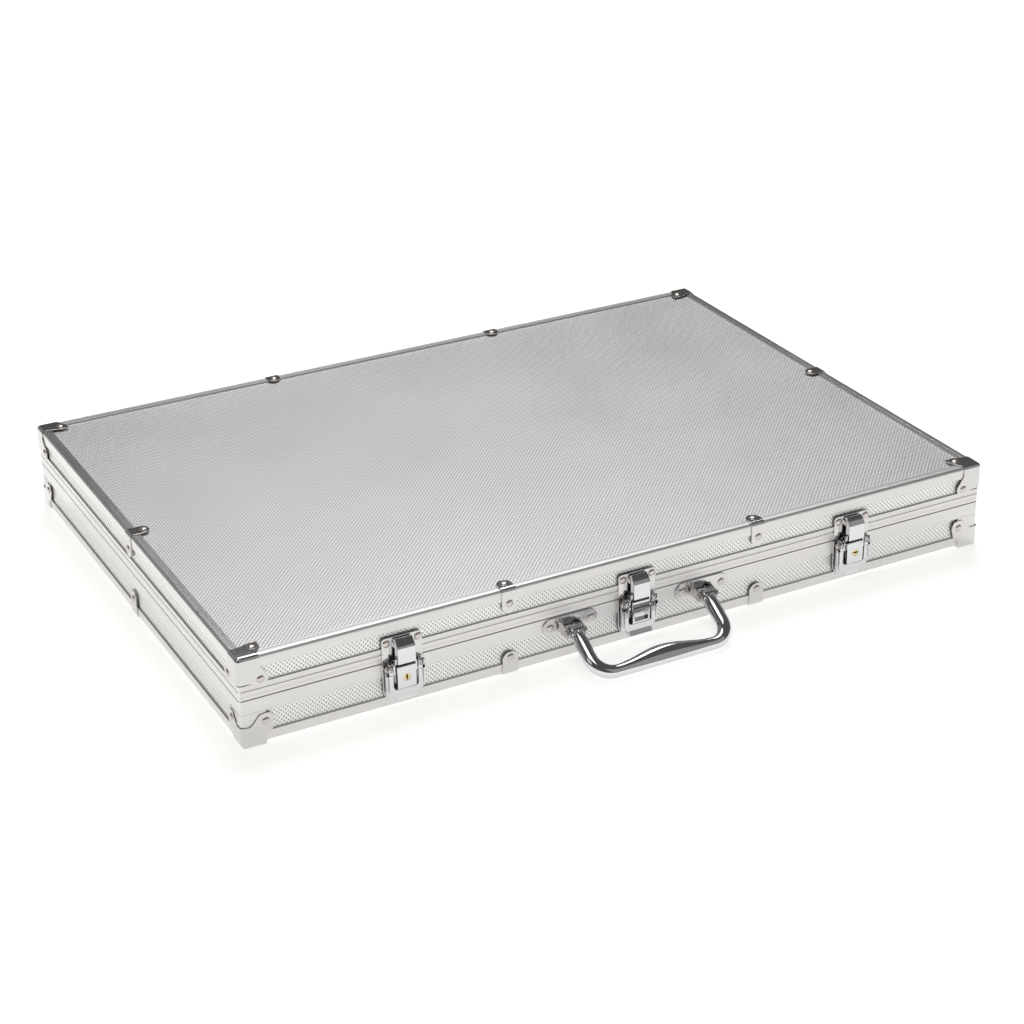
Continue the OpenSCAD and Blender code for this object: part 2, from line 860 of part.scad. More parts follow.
module base_rivets() {
  color("white") {
    cap_rivets(base_cap, false);
    clip_rivets(base_clip, base_side_clip, false);
    for (x = [-bracket_x, bracket_x], s = [-1, 1])
      front_rivet(x + s * bracket_rivet_x, bracket_z, plate_t, plate_t);
    leaf_rivets(seam_z - leaf_rivet_z);
  }
}

module lid_rivets() {
  color("white") {
    cap_rivets(lid_cap, true);
    clip_rivets(lid_clip, lid_side_clip, true);
    for (x = [-latch_x, 0, latch_x], s = [-1, 1])
      front_rivet(x + s * catch_rivet[0], catch_rivet[1], plate_t, plate_t);
    leaf_rivets(seam_z + leaf_rivet_z);
  }
}

// ---------- Trays and padding ----------

// A foam tray with two rows of half-round chip channels
module chip_tray(x) {
  color("dimgray")
    difference() {
      translate([x - side_tray_w / 2, case_y - tray_l / 2, tray_low_z])
        cube([side_tray_w, tray_l, tray_top_z - tray_low_z]);
      for (i = [0 : channel_n - 1], s = [-1, 1])
        translate([
          x + (i - (channel_n - 1) / 2) * channel_pitch,
          case_y + s * channel_y + channel_l / 2,
          tray_top_z
        ])
          rotate([90, 0, 0]) cylinder(h = channel_l, r = channel_d / 2, $fn = soft_fn);
    }
}

module left_chip_tray() { chip_tray(-side_tray_x); }
module right_chip_tray() { chip_tray(side_tray_x); }

// A square well cut down from the top of the middle tray
module well(size, y) {
  translate([-size[0] / 2, case_y + y - size[1] / 2, tray_top_z - size[2]])
    cube([size[0], size[1], size[2] + 1]);
}

// The middle tray holds two card decks, dice, a dealer button and the keys
module accessory_tray() {
  color("dimgray")
    difference() {
      translate([-mid_tray_w / 2, case_y - tray_l / 2, tray_low_z])
        cube([mid_tray_w, tray_l, tray_top_z - tray_low_z]);
      for (s = [-1, 1]) well(card_well, s * card_y);
      well(dice_well, dice_y);
      well(key_well, key_y);
      translate([0, case_y, tray_top_z - button_depth])
        cylinder(h = button_depth + 1, r = button_r, $fn = soft_fn);
    }
}

// Foam pad under the lid panel that holds the chips down
module lid_pad() {
  color("dimgray") block(wall_in + pad_gap, pad_low_z, case_h - wall_in);
}

base_panel();
base_front_panel();
base_back_panel();
base_left_panel();
base_right_panel();
base_front_edge();
base_back_edge();
base_left_edge();
base_right_edge();
base_front_rim();
base_back_rim();
base_left_rim();
base_right_rim();
base_corner_caps();
base_edge_clips();
base_rivets();
left_chip_tray();
right_chip_tray();
accessory_tray();
latch_base_plates();
lever_pins();
left_lock_body();
right_lock_body();
middle_latch_cover();
handle_brackets();
handle_pins();
hinge_base_leaves();
hinge_pins();
left_lock_plug();
right_lock_plug();
handle_bow();
left_lever();
middle_lever();
right_lever();
left_hook_pins();
middle_hook_pins();
right_hook_pins();
left_hook();
middle_hook();
right_hook();
lid_panel();
lid_front_panel();
lid_back_panel();
lid_left_panel();
lid_right_panel();
lid_front_edge();
lid_back_edge();
lid_left_edge();
lid_right_edge();
lid_front_rim();
lid_back_rim();
lid_left_rim();
lid_right_rim();
lid_corner_caps();
lid_edge_clips();
lid_rivets();
lid_pad();
catch_plates();
hinge_lid_leaves();
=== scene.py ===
import json
import math

import bmesh
import bpy
from mathutils import Matrix, Vector


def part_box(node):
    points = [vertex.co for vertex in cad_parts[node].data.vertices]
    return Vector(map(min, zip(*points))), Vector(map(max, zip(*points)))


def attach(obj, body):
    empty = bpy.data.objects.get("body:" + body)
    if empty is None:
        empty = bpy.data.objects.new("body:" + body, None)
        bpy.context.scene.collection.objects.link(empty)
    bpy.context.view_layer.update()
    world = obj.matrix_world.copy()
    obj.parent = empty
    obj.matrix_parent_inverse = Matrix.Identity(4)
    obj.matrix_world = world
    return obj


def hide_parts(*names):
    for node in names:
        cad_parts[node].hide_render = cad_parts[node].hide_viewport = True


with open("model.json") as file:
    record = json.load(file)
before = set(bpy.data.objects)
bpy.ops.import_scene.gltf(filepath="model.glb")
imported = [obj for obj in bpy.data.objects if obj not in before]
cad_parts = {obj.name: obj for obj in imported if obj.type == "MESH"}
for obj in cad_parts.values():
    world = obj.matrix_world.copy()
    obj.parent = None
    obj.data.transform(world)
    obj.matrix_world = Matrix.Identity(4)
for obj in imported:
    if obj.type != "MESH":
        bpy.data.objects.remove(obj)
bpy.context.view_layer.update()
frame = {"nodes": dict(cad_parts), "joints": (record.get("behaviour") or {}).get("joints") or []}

bl_info = {
    "name": "Poker Chip Case",
    "version": (1, 0, 0),
    "blender": (4, 5, 0),
    "location": "View3D > Sidebar > Chip Case",
    "description": "Builds an aluminium chip case round its packed frame",
    "category": "Add Mesh",
}

MM = 0.001


def corner_mm(node, high):
    """One corner of a node's box, in millimetres."""
    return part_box(node)[1 if high else 0] / MM


# Places in millimetres, read from the frame
CASE_LOW = corner_mm("base_corner_caps", False)
CASE_HIGH = corner_mm("lid_corner_caps", True)
MID_Y = (CASE_LOW.y + CASE_HIGH.y) / 2
HALF_W = CASE_HIGH.x
HALF_D = CASE_HIGH.y - MID_Y
TOP_Z = CASE_HIGH.z
FACE_Y = corner_mm("base_front_edge", False).y
REAR_Y = corner_mm("base_back_edge", True).y
CAP_T = FACE_Y - CASE_LOW.y
BASE_RIM_Z = (corner_mm("base_front_rim", False).z, corner_mm("base_front_rim", True).z)
LID_RIM_Z = (corner_mm("lid_front_rim", False).z, corner_mm("lid_front_rim", True).z)
LATCHES = {
    side: (corner_mm(f"{side}_lever", False).x + corner_mm(f"{side}_lever", True).x) / 2
    for side in ("left", "middle", "right")
}
PIVOTS = {j["name"]: Vector(j["pos_m"]) / MM for j in frame["joints"]}
BRACKET_X = 50
SIDES = ("front", "back", "left", "right")
SIDE_TURNS = {"front": 0, "right": 90, "back": 180, "left": -90}
# Outer radius of the extrusions
EXTRUSION_R = 2.2


class CaseSizes(bpy.types.PropertyGroup):
    """Sizes of the visible detail, in millimetres"""

    edge_radius: bpy.props.FloatProperty(
        name="Edge radius", description="Outer radius of the caps and clips in mm", default=3.0
    )
    steel: bpy.props.FloatProperty(
        name="Steel", description="Thickness of the pressed steel in mm", default=CAP_T
    )
    edge_break: bpy.props.FloatProperty(
        name="Edge break", description="Rounding of pressed edges in mm", default=0.22
    )
    dot_pitch_x: bpy.props.FloatProperty(
        name="Dot pitch across", description="Embossing pitch along a strip in mm", default=3.0
    )
    dot_pitch_z: bpy.props.FloatProperty(
        name="Dot pitch down", description="Embossing pitch across a strip in mm", default=3.2
    )
    lens: bpy.props.FloatProperty(
        name="Lens", description="Focal length of the camera in mm", default=81.554
    )


class CaseFinishes(bpy.types.PropertyGroup):
    """Colours of the finishes, as sRGB hex values"""

    extrusion: bpy.props.StringProperty(
        name="Extrusion", description="Satin anodised aluminium", default="E6E4E3"
    )
    sheet: bpy.props.StringProperty(
        name="Sheet", description="Embossed aluminium sheet", default="F0F0EF"
    )
    plating: bpy.props.StringProperty(
        name="Plating", description="Bright nickel on pressed steel", default="D2D0CF"
    )
    chrome: bpy.props.StringProperty(
        name="Chrome", description="Polished chromium plate", default="D8D8DA"
    )
    rivet: bpy.props.StringProperty(
        name="Rivet", description="Drawn nickel-plated rivets", default="CFC6C0"
    )
    brass: bpy.props.StringProperty(
        name="Brass", description="Turned brass of the key plugs", default="E2D3A4"
    )
    foam: bpy.props.StringProperty(
        name="Foam", description="Flocked black foam", default="1E1E20"
    )
    floor: bpy.props.StringProperty(name="Floor", description="Pale floor", default="F4F4F2")


# ---------- Materials ----------


def linear(hex_colour):
    """sRGB hex to linear RGBA."""
    channels = [int(hex_colour[i : i + 2], 16) / 255 for i in (0, 2, 4)]
    out = [c / 12.92 if c <= 0.04045 else ((c + 0.055) / 1.055) ** 2.4 for c in channels]
    return (*out, 1.0)


def add(tree, kind, attrs=None, **inputs):
    """Adds a node with its settings, and sets or links its inputs. in0, in1 name an input by place."""
    node = tree.nodes.new(kind)
    for key, value in (attrs or {}).items():
        setattr(node, key, value)
    for key, value in inputs.items():
        place = key[2:] if key.startswith("in") else ""
        socket = node.inputs[int(place) if place.isdigit() else key.replace("_", " ")]
        if isinstance(value, bpy.types.NodeSocket):
            tree.links.new(value, socket)
        else:
            socket.default_value = value
    return node


def new_finish(name, hex_colour, metallic, roughness):
    """A material holding one Principled shader, and that shader."""
    material = bpy.data.materials.new(name)
    material.use_nodes = True
    shader = material.node_tree.nodes["Principled BSDF"]
    shader.inputs["Base Color"].default_value = linear(hex_colour)
    shader.inputs["Metallic"].default_value = metallic
    shader.inputs["Roughness"].default_value = roughness
    return material, material.node_tree, shader


def darker(hex_colour, share):
    """The linear colour scaled down, for the low side of a variation."""
    r, g, b, a = linear(hex_colour)
    return (r * share, g * share, b * share, a)


# Satin anodised aluminium, extruded: a soft sheen, with die lines drawn along the length
# that blur reflections across them. The lines are 0.5 mm apart and run for 80 mm.
def anodised_extrusion(name, along, hex_colour):
    line_gap, line_run = 0.0005, 0.08
    smooth = 0.37 if along == "X" else 0.21
    material, tree, shader = new_finish(name, hex_colour, 1.0, 0.34)
    scale = [1 / line_gap] * 3
    scale["XYZ".index(along)] = 1 / line_run
    place = add(tree, "ShaderNodeTexCoord").outputs["Object"]
    drawn = add(tree, "ShaderNodeMapping", Vector=place, Scale=scale).outputs[0]
    lines = add(tree, "ShaderNodeTexNoise", Vector=drawn, Scale=1.0, Detail=3.0).outputs["Fac"]
    cloud = add(tree, "ShaderNodeTexNoise", Vector=place, Scale=9.0, Detail=2.0).outputs["Fac"]
    tone = add(
        tree,
        "ShaderNodeMix",
        {"data_type": "RGBA"},
        Factor=lines,
        in6=darker(hex_colour, 0.86),
        in7=linear(hex_colour),
    ).outputs[2]
    rough = add(
        tree, "ShaderNodeMapRange", Value=cloud, To_Min=smooth, To_Max=smooth + 0.11
    ).outputs[0]
    bump = add(tree, "ShaderNodeBump", Height=lines, Strength=0.12, Distance=0.00008)
    tree.links.new(tone, shader.inputs["Base Color"])
    tree.links.new(rough, shader.inputs["Roughness"])
    tree.links.new(bump.outputs[0], shader.inputs["Normal"])
    return material


# Aluminium sheet, rolled between embossing rolls: rows of small pits, staggered, at a pitch
# of 3.0 by 3.2 mm, which catch light on one side and shade on the other. Each pit is also
# painted darker in colour: painted shade in the hollows, wider on the flat boards.
def embossed_sheet(name, axes, hex_colour, sizes, pit_depth):
    flat = "Z" not in axes
    pitches = {"X": sizes.dot_pitch_x, "Y": sizes.dot_pitch_x, "Z": sizes.dot_pitch_z}
    if flat:
        pitches["Y"] = sizes.dot_pitch_z
    material, tree, shader = new_finish(name, hex_colour, 1.0, 0.4)
    place = add(tree, "ShaderNodeTexCoord").outputs["Object"]
    split = add(tree, "ShaderNodeSeparateXYZ", Vector=place).outputs
    waves = []
    for axis in axes:
        turns = 2 * math.pi / (pitches[axis] * MM)
        phase = add(tree, "ShaderNodeMath", {"operation": "MULTIPLY"}, in0=split[axis], in1=turns)
        waves.append(add(tree, "ShaderNodeMath", {"operation": "COSINE"}, in0=phase.outputs[0]))
    dots = add(
        tree, "ShaderNodeMath", {"operation": "MULTIPLY"},
        in0=waves[0].outputs[0], in1=waves[1].outputs[0],
    ).outputs[0]
    # Pit mask: sinks the pits through the bump and places the painted shade; wider on the flat boards.
    pit_and_painted_shade = add(
        tree, "ShaderNodeMapRange", {"interpolation_type": "SMOOTHSTEP"},
        Value=dots, From_Min=-0.1 if flat else 0.35, From_Max=0.8,
    ).outputs[0]
    cloud = add(tree, "ShaderNodeTexNoise", Vector=place, Scale=14.0, Detail=3.0).outputs["Fac"]
    # Painted shade: the colour drops to 0.42 of the sheet's in each pit, darkest at its middle.
    tone = add(
        tree, "ShaderNodeMix", {"data_type": "RGBA"},
        Factor=pit_and_painted_shade, in6=linear(hex_colour), in7=darker(hex_colour, 0.42),
    ).outputs[2]
    rough = add(tree, "ShaderNodeMapRange", Value=cloud, To_Min=0.4, To_Max=0.52).outputs[0]
    bump = add(
        tree, "ShaderNodeBump", {"invert": True}, Height=pit_and_painted_shade, Strength=0.8, Distance=pit_depth
    )
    tree.links.new(tone, shader.inputs["Base Color"])
    tree.links.new(rough, shader.inputs["Roughness"])
    tree.links.new(bump.outputs[0], shader.inputs["Normal"])
    return material


# Bright plating on pressed steel: sharp reflections with a faint ripple 4 mm across from the
# press, and fine handling marks that dull it in places.
def bright_plating(name, hex_colour, low, high, ripple):
    material, tree, shader = new_finish(name, hex_colour, 1.0, low)
    place = add(tree, "ShaderNodeTexCoord").outputs["Object"]
    wave = add(tree, "ShaderNodeTexNoise", Vector=place, Scale=250.0, Detail=1.0).outputs["Fac"]
    marks = add(tree, "ShaderNodeTexNoise", Vector=place, Scale=420.0, Detail=3.0).outputs["Fac"]
    worn = add(
        tree, "ShaderNodeMapRange", Value=marks, From_Min=0.35, From_Max=0.75,
        To_Min=low, To_Max=high,
    ).outputs[0]
    bump = add(tree, "ShaderNodeBump", Height=wave, Strength=0.3, Distance=ripple)
    tree.links.new(worn, shader.inputs["Roughness"])
    tree.links.new(bump.outputs[0], shader.inputs["Normal"])
    return material


# Turned brass: a fine grain 0.3 mm across gives it a silky face.
def turned_brass(hex_colour):
    material, tree, shader = new_finish("turned_brass", hex_colour, 1.0, 0.26)
    place = add(tree, "ShaderNodeTexCoord").outputs["Object"]
    grain = add(tree, "ShaderNodeTexNoise", Vector=place, Scale=3300.0, Detail=2.0).outputs["Fac"]
    bump = add(tree, "ShaderNodeBump", Height=grain, Strength=0.2, Distance=0.00005)
    tree.links.new(bump.outputs[0], shader.inputs["Normal"])
    return material


# Flocked foam: near black with a short nap that lightens at grazing angles. The nap's tufts
# are 0.4 mm across and drawn at 0.8 mm so that they show.
def flocked_foam(name, hex_colour):
    material, tree, shader = new_finish(name, hex_colour, 0.0, 0.95)
    shader.inputs["Sheen Weight"].default_value = 0.5
    shader.inputs["Sheen Roughness"].default_value = 0.5
    place = add(tree, "ShaderNodeTexCoord").outputs["Object"]
    nap = add(tree, "ShaderNodeTexNoise", Vector=place, Scale=1250.0, Detail=3.0).outputs["Fac"]
    cloud = add(tree, "ShaderNodeTexNoise", Vector=place, Scale=30.0, Detail=3.0).outputs["Fac"]
    tone = add(
        tree, "ShaderNodeMix", {"data_type": "RGBA"},
        Factor=cloud, in6=darker(hex_colour, 0.7), in7=darker(hex_colour, 1.5),
    ).outputs[2]
    bump = add(tree, "ShaderNodeBump", Height=nap, Strength=0.6, Distance=0.0003)
    tree.links.new(tone, shader.inputs["Base Color"])
    tree.links.new(bump.outputs[0], shader.inputs["Normal"])
    return material


# A pale acrylic table lit from below: an even, nearly shadowless ground.
def light_table(hex_colour):
    material, _, shader = new_finish("pale_floor", hex_colour, 0.0, 0.9)
    shader.inputs["Emission Color"].default_value = linear(hex_colour)
    shader.inputs["Emission Strength"].default_value = 0.69
    return material


def make_finishes(scene):
    """Every material, made once."""
    sizes, colours = scene.case_sizes, scene.case_finishes
    for along in "XY":
        anodised_extrusion(f"anodised_extrusion_{along}", along, colours.extrusion)
    for axes in ("XY", "XZ", "YZ"):
        embossed_sheet(f"embossed_sheet_{axes}", axes, colours.sheet, sizes, 0.00035)
    bright_plating("nickel_plated_steel", colours.plating, 0.13, 0.18, 0.000006)
    bright_plating("polished_chrome", colours.chrome, 0.04, 0.1, 0.00001)
    bright_plating("drawn_rivet_steel", colours.rivet, 0.24, 0.36, 0.00001)
    turned_brass(colours.brass)
    flocked_foam("flocked_foam", colours.foam)
    flocked_foam("felt_lining", "29292B")
    light_table(colours.floor)


def finish(name):
    """A material by its name."""
    return bpy.data.materials[name]


# ---------- Mesh helpers, in millimetres ----------


def arc(centre, radius, start, end, steps=10):
    """Points along an arc, in degrees."""
    angles = [math.radians(start + (end - start) * i / steps) for i in range(steps + 1)]
    return [(centre[0] + radius * math.cos(a), centre[1] + radius * math.sin(a)) for a in angles]


def prism(bm, outline, low, high, axis):
    """Extrudes a 2D outline between two distances along X, Y or Z.
    The outline is (Y, Z) along X, (X, Z) along Y and (X, Y) along Z."""
    place = {
        "X": lambda p: (low, p[0], p[1]),
        "Y": lambda p: (p[0], low, p[1]),
        "Z": lambda p: (p[0], p[1], low),
    }[axis]
    face = bm.faces.new([bm.verts.new(place(p)) for p in outline])
    step = Vector([high - low if a == axis else 0 for a in "XYZ"])
    grown = bmesh.ops.extrude_face_region(bm, geom=[face], use_keep_orig=True)
    top = [v for v in grown["geom"] if isinstance(v, bmesh.types.BMVert)]
    bmesh.ops.translate(bm, vec=step, verts=top)
    faces = {f for v in list(face.verts) + top for f in v.link_faces}
    bmesh.ops.recalc_face_normals(bm, faces=list(faces))


def slab(bm, low, high):
    """A plain block between two corners."""
    made = bmesh.ops.create_cube(bm, size=1.0)["verts"]
    size = Vector(high) - Vector(low)
    bmesh.ops.scale(bm, vec=size, verts=made)
    bmesh.ops.translate(bm, vec=(Vector(low) + Vector(high)) / 2, verts=made)


def bar(bm, start, end, radius, steps=32):
    """A round bar between two points."""
    line = Vector(end) - Vector(start)
    turn = line.to_track_quat("Z", "Y").to_matrix().to_4x4()
    place = Matrix.Translation((Vector(start) + Vector(end)) / 2) @ turn
    bmesh.ops.create_cone(
        bm, cap_ends=True, segments=steps, radius1=radius, radius2=radius,
        depth=line.length, matrix=place,
    )


def soften(bm, width, steps=2, angle=30):
    """Rounds every edge sharper than an angle."""
    edges = [
        e for e in bm.edges
        if len(e.link_faces) == 2 and e.calc_face_angle(0) > math.radians(angle)
    ]
    bmesh.ops.bevel(
        bm, geom=edges, offset=width, offset_type="OFFSET", segments=steps, profile=0.5,
        affect="EDGES", clamp_overlap=True, material=-1,
    )


def slice_off(bm, point, normal):
    """Cuts away what lies beyond a plane and closes the cut."""
    cut = bmesh.ops.bisect_plane(
        bm, geom=bm.verts[:] + bm.edges[:] + bm.faces[:], plane_co=point, plane_no=normal,
        clear_outer=True,
    )["geom_cut"]
    edges = [e for e in cut if isinstance(e, bmesh.types.BMEdge)]
    bmesh.ops.edgenet_fill(bm, edges=edges)


def merge(bm, other, matrix):
    """Adds a copy of another bmesh, moved by a matrix, with its faces outward."""
    mesh = bpy.data.meshes.new("copy")
    other.to_mesh(mesh)
    mesh.transform(matrix)
    if matrix.determinant() < 0:
        mesh.flip_normals()
    bm.from_mesh(mesh)
    bpy.data.meshes.remove(mesh)


def join(bm, part, width, steps=2):
    """Softens a part, adds it to a bmesh and frees it."""
    soften(part, width, steps)
    merge(bm, part, Matrix.Identity(4))
    part.free()


def make_piece(name, bm, body, materials, stands_for, smooth=32):
    """Turns a bmesh in millimetres into a piece that rides on a body."""
    bmesh.ops.scale(bm, vec=(MM, MM, MM), verts=bm.verts)
    mesh = bpy.data.meshes.new(name)
    bm.to_mesh(mesh)
    bm.free()
    mesh.polygons.foreach_set("use_smooth", [True] * len(mesh.polygons))
    mesh.set_sharp_from_angle(angle=math.radians(smooth))
    for material in materials:
        mesh.materials.append(finish(material))
    piece = bpy.data.objects.new(name, mesh)
    bpy.context.scene.collection.objects.link(piece)
    shading = piece.modifiers.new("even shading", "WEIGHTED_NORMAL")
    shading.keep_sharp = True
    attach(piece, body)
    if stands_for:
        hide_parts(*stands_for)
    return piece


def cut_out(bm, cutter):
    """Subtracts one closed bmesh from another."""
    meshes = []
    for part in (bm, cutter):
        mesh = bpy.data.meshes.new("cut")
        part.to_mesh(mesh)
        part.free()
        meshes.append(mesh)
    body, tool = (bpy.data.objects.new("cut", m) for m in meshes)
    for o in (body, tool):
        bpy.context.scene.collection.objects.link(o)
    change = body.modifiers.new("cut", "BOOLEAN")
    change.operation, change.solver, change.object = "DIFFERENCE", "EXACT", tool
    bpy.context.view_layer.update()
    shaped = body.evaluated_get(bpy.context.evaluated_depsgraph_get())
    out = bmesh.new()
    out.from_mesh(shaped.data)
    for o in (body, tool):
        bpy.data.objects.remove(o)
    for m in meshes:
        bpy.data.meshes.remove(m)
    return out


def paint_node(node, material):
    """Gives a carried-over node a finish."""
    mesh = frame["nodes"][node].data
    mesh.materials.clear()
    mesh.materials.append(finish(material))


# ---------- Panels ----------


def side_of(node):
    """The side a panel stands on, or flat for the top and bottom boards."""
    return next((s for s in SIDES if f"_{s}_" in node), "flat")


def build_panels():
    """Boards with an embossed skin outside and felt inside."""
    weave = {"flat": "XY", "front": "XZ", "back": "XZ", "left": "YZ", "right": "YZ"}
    inward = {
        "front": Vector((0, 1, 0)), "back": Vector((0, -1, 0)),
        "left": Vector((1, 0, 0)), "right": Vector((-1, 0, 0)),
    }
    for body in ("base", "lid"):
        inward["flat"] = Vector((0, 0, 1 if body == "base" else -1))
        for node in [f"{body}_panel"] + [f"{body}_{s}_panel" for s in SIDES]:
            side = side_of(node)
            bm = bmesh.new()
            slab(bm, corner_mm(node, False), corner_mm(node, True))
            for face in bm.faces:
                face.material_index = 1 if face.normal.dot(inward[side]) > 0.9 else 0
            soften(bm, 0.2, 1)
            make_piece(
                f"{node}_board", bm, body,
                [f"embossed_sheet_{weave[side]}", "felt_lining"], [node],
            )


# ---------- Extrusions ----------


def angle_section(leg):
    """Edge angle as (distance in, distance from the top or bottom face): a round outer edge,
    a groove near the end of the inward leg and a small round at each lip."""
    wall, inner, lip, r = CAP_T, CAP_T + 1.2, 8, EXTRUSION_R
    floor = wall + 0.28
    return (
        [(inner, leg), (wall + 0.2, leg), (wall, leg - 0.2)]
        + arc((wall + r, wall + r), r, 180, 270, 8)
        + [(lip - 2.6, wall), (lip - 2.4, floor), (lip - 2.0, floor), (lip - 1.8, wall)]
        + [(lip - 0.35, wall), (lip, wall + 0.35), (lip, inner), (inner, inner)]
    )


def base_rim_section():
    """Base rim as (distance in, height): flange, flat top and tongue."""
    wall, inner, board = CAP_T, CAP_T + 1.2, CAP_T + 5.2
    low, tip = BASE_RIM_Z
    top = tip - 3.5
    shelf = top - 3.85
    return [
        (inner, low), (inner, shelf), (board, shelf), (board, top), (5.0, top),
        (5.0, tip - 0.4), (4.6, tip), (3.9, tip), (3.5, tip - 0.4), (3.5, top),
        (wall + 0.3, top), (wall, top - 0.3), (wall, low + 0.15), (wall + 0.15, low),
    ]


def lid_rim_section():
    """Lid rim as (distance in, height): a skirt outside the tongue and two grooves down its face."""
    wall, inner, skirt, shelf = CAP_T, CAP_T + 1.2, 3.2, 37
    low, high = LID_RIM_Z
    return [
        (skirt, low), (wall + 0.3, low), (wall, low + 0.3),
        (wall, low + 2.4), (wall + 0.12, low + 2.7), (wall, low + 3.0),
        (wall, low + 5.8), (wall + 0.3, low + 6.3), (wall + 0.3, low + 6.9), (wall, low + 7.4),
        (wall, high - 0.25), (wall + 0.25, high), (inner, high), (inner, shelf), (skirt, shelf),
    ]


def mitred(section, side):
    """A section run along one side, with its ends mitred and the case's corners rounded."""
    long_half = HALF_W if side in ("front", "back") else HALF_D
    out = HALF_D if side in ("front", "back") else HALF_W
    bm = bmesh.new()
    prism(bm, [(d - out, z) for d, z in section], -long_half, long_half, "X")
    r, diagonal = EXTRUSION_R, math.sqrt(0.5)
    for end in (-1, 1):
        slice_off(bm, (end * long_half, -out, 0), (end * diagonal, diagonal, 0))
        centre = Vector((end * (long_half - CAP_T - r), -out + CAP_T + r, 0))
        for lean in (12, 25, 38):
            away = Vector((end * math.sin(math.radians(lean)), -math.cos(math.radians(lean)), 0))
            slice_off(bm, centre + r * away, away)
    turn = math.radians(SIDE_TURNS[side])
    spin = Matrix.Translation((0, MID_Y, 0)) @ Matrix.Rotation(turn, 4, "Z")
    bmesh.ops.transform(bm, matrix=spin, verts=bm.verts)
    bmesh.ops.recalc_face_normals(bm, faces=bm.faces)
    return bm


def build_extrusions():
    """The sixteen mitred lengths of aluminium extrusion."""
    base_leg = corner_mm("base_front_edge", True).z
    lid_leg = TOP_Z - corner_mm("lid_front_edge", False).z
    sections = {
        ("base", "edge"): angle_section(base_leg),
        ("lid", "edge"): [(d, TOP_Z - h) for d, h in angle_section(lid_leg)],
        ("base", "rim"): base_rim_section(),
        ("lid", "rim"): lid_rim_section(),
    }
    for (body, kind), section in sections.items():
        for side in SIDES:
            along = "X" if side in ("front", "back") else "Y"
            make_piece(
                f"{body}_{side}_{kind}_extrusion", mitred(section, side), body,
                [f"anodised_extrusion_{along}"], [f"{body}_{side}_{kind}"], 25,
            )


# ---------- Corner caps and clips ----------

# Rivet places on each cap, from its corner: (along, inward) on the flat face, (along, down)
# on the long side and (along, down) on the short side
CAP_RIVETS = {"lid": ((15, 11.5), (15.3, 17), (15.9, 16.3)), "base": ((15, 11.5), (16.8, 16), (15, 15.9))}
# Each clip: width, leg on the flat face, its rivet, leg down the side, its rivet
CLIPS = {
    ("lid", "long"): (10.4, 12, 7.5, 18, 11),
    ("lid", "end"): (10.4, 15.7, 11.7, 18, 12),
    ("base", "long"): (11.5, 12, 7.5, 16.8, 12.7),
    ("base", "end"): (10.4, 15.7, 11.7, 20, 12.7),
}
CLIP_X = 94
CLIP_END_Y = -3


def cap_outlines(body):
    """The three faces of a cap, flat, each ending in a tab round its rivet."""
    flat, long_side, short_side = CAP_RIVETS[body]
    flat_face = (
        [(0, 0), (15, 0), (16.4, 4.6)] + arc(flat, 5.0, -52, 12, 4) + [(20.4, 16.8)]
        + arc(flat, 5.0, 62, 118, 4) + [(8, 14.6), (4, 14), (0, 14)]
    )
    if body == "lid":
        long_face = [(0, 0), (15, 0), (15.2, 7.5)] + arc(long_side, 5.1, -32, 118, 10)
        long_face += [(9.6, 19.2), (6, 18.6), (0, 18.5)]
        short_face = [(0, 0), (14, 0), (14.2, 7)] + arc(short_side, 5.0, -50, 120, 10)
        short_face += [(9.2, 19.2), (6, 18.6), (0, 18.5)]
    else:
        long_face = [(0, 0), (16.5, 0), (16.9, 6.5), (21.2, 9.6)] + arc(long_side, 5.6, -30, 20, 4)
        long_face += arc((18.4, 18), 3.4, 20, 90, 5) + [(14.4, 21.4), (12.6, 20.6), (9, 16.2)]
        long_face += [(7.6, 14.8), (6, 13.9), (3, 14.1), (0, 14.5)]
        short_face = [(0, 0), (14, 0), (14.4, 6.5), (18.8, 9.6)] + arc(short_side, 5.8, -32, 122, 10)
        short_face += [(9.8, 17.2), (7.4, 14.6), (5, 13.8), (2.5, 14.2), (0, 14.5)]
    return (
        [(x, y, 0) for x, y in flat_face],
        [(x, 0, z) for x, z in long_face],
        [(0, y, z) for y, z in short_face],
    )


def pressed_shell(outlines, sizes):
    """Flat faces folded round shared edges, given a radius, a thickness and soft rims."""
    bm = bmesh.new()
    for outline in outlines:
        bm.faces.new([bm.verts.new(p) for p in outline])
    bmesh.ops.remove_doubles(bm, verts=bm.verts, dist=0.001)
    for face in bm.faces:
        if sum(face.normal) > 0:
            face.normal_flip()
    folds = [e for e in bm.edges if len(e.link_faces) == 2]
    bmesh.ops.bevel(
        bm, geom=folds, offset=sizes.edge_radius, offset_type="OFFSET", segments=6, profile=0.5,
        affect="EDGES", clamp_overlap=True, material=-1,
    )
    bmesh.ops.solidify(bm, geom=bm.faces[:], thickness=sizes.steel)
    bmesh.ops.recalc_face_normals(bm, faces=bm.faces)
    soften(bm, sizes.edge_break, 2, 50)
    return bm


def corner_places(body):
    """The matrix that takes corner coordinates, inward, to each corner of the case."""
    up = body == "lid"
    for sx in (-1, 1):
        for sy in (-1, 1):
            move = Matrix.Translation((sx * HALF_W, MID_Y + sy * HALF_D, TOP_Z if up else 0))
            yield move @ Matrix.Diagonal((-sx, -sy, -1 if up else 1, 1))


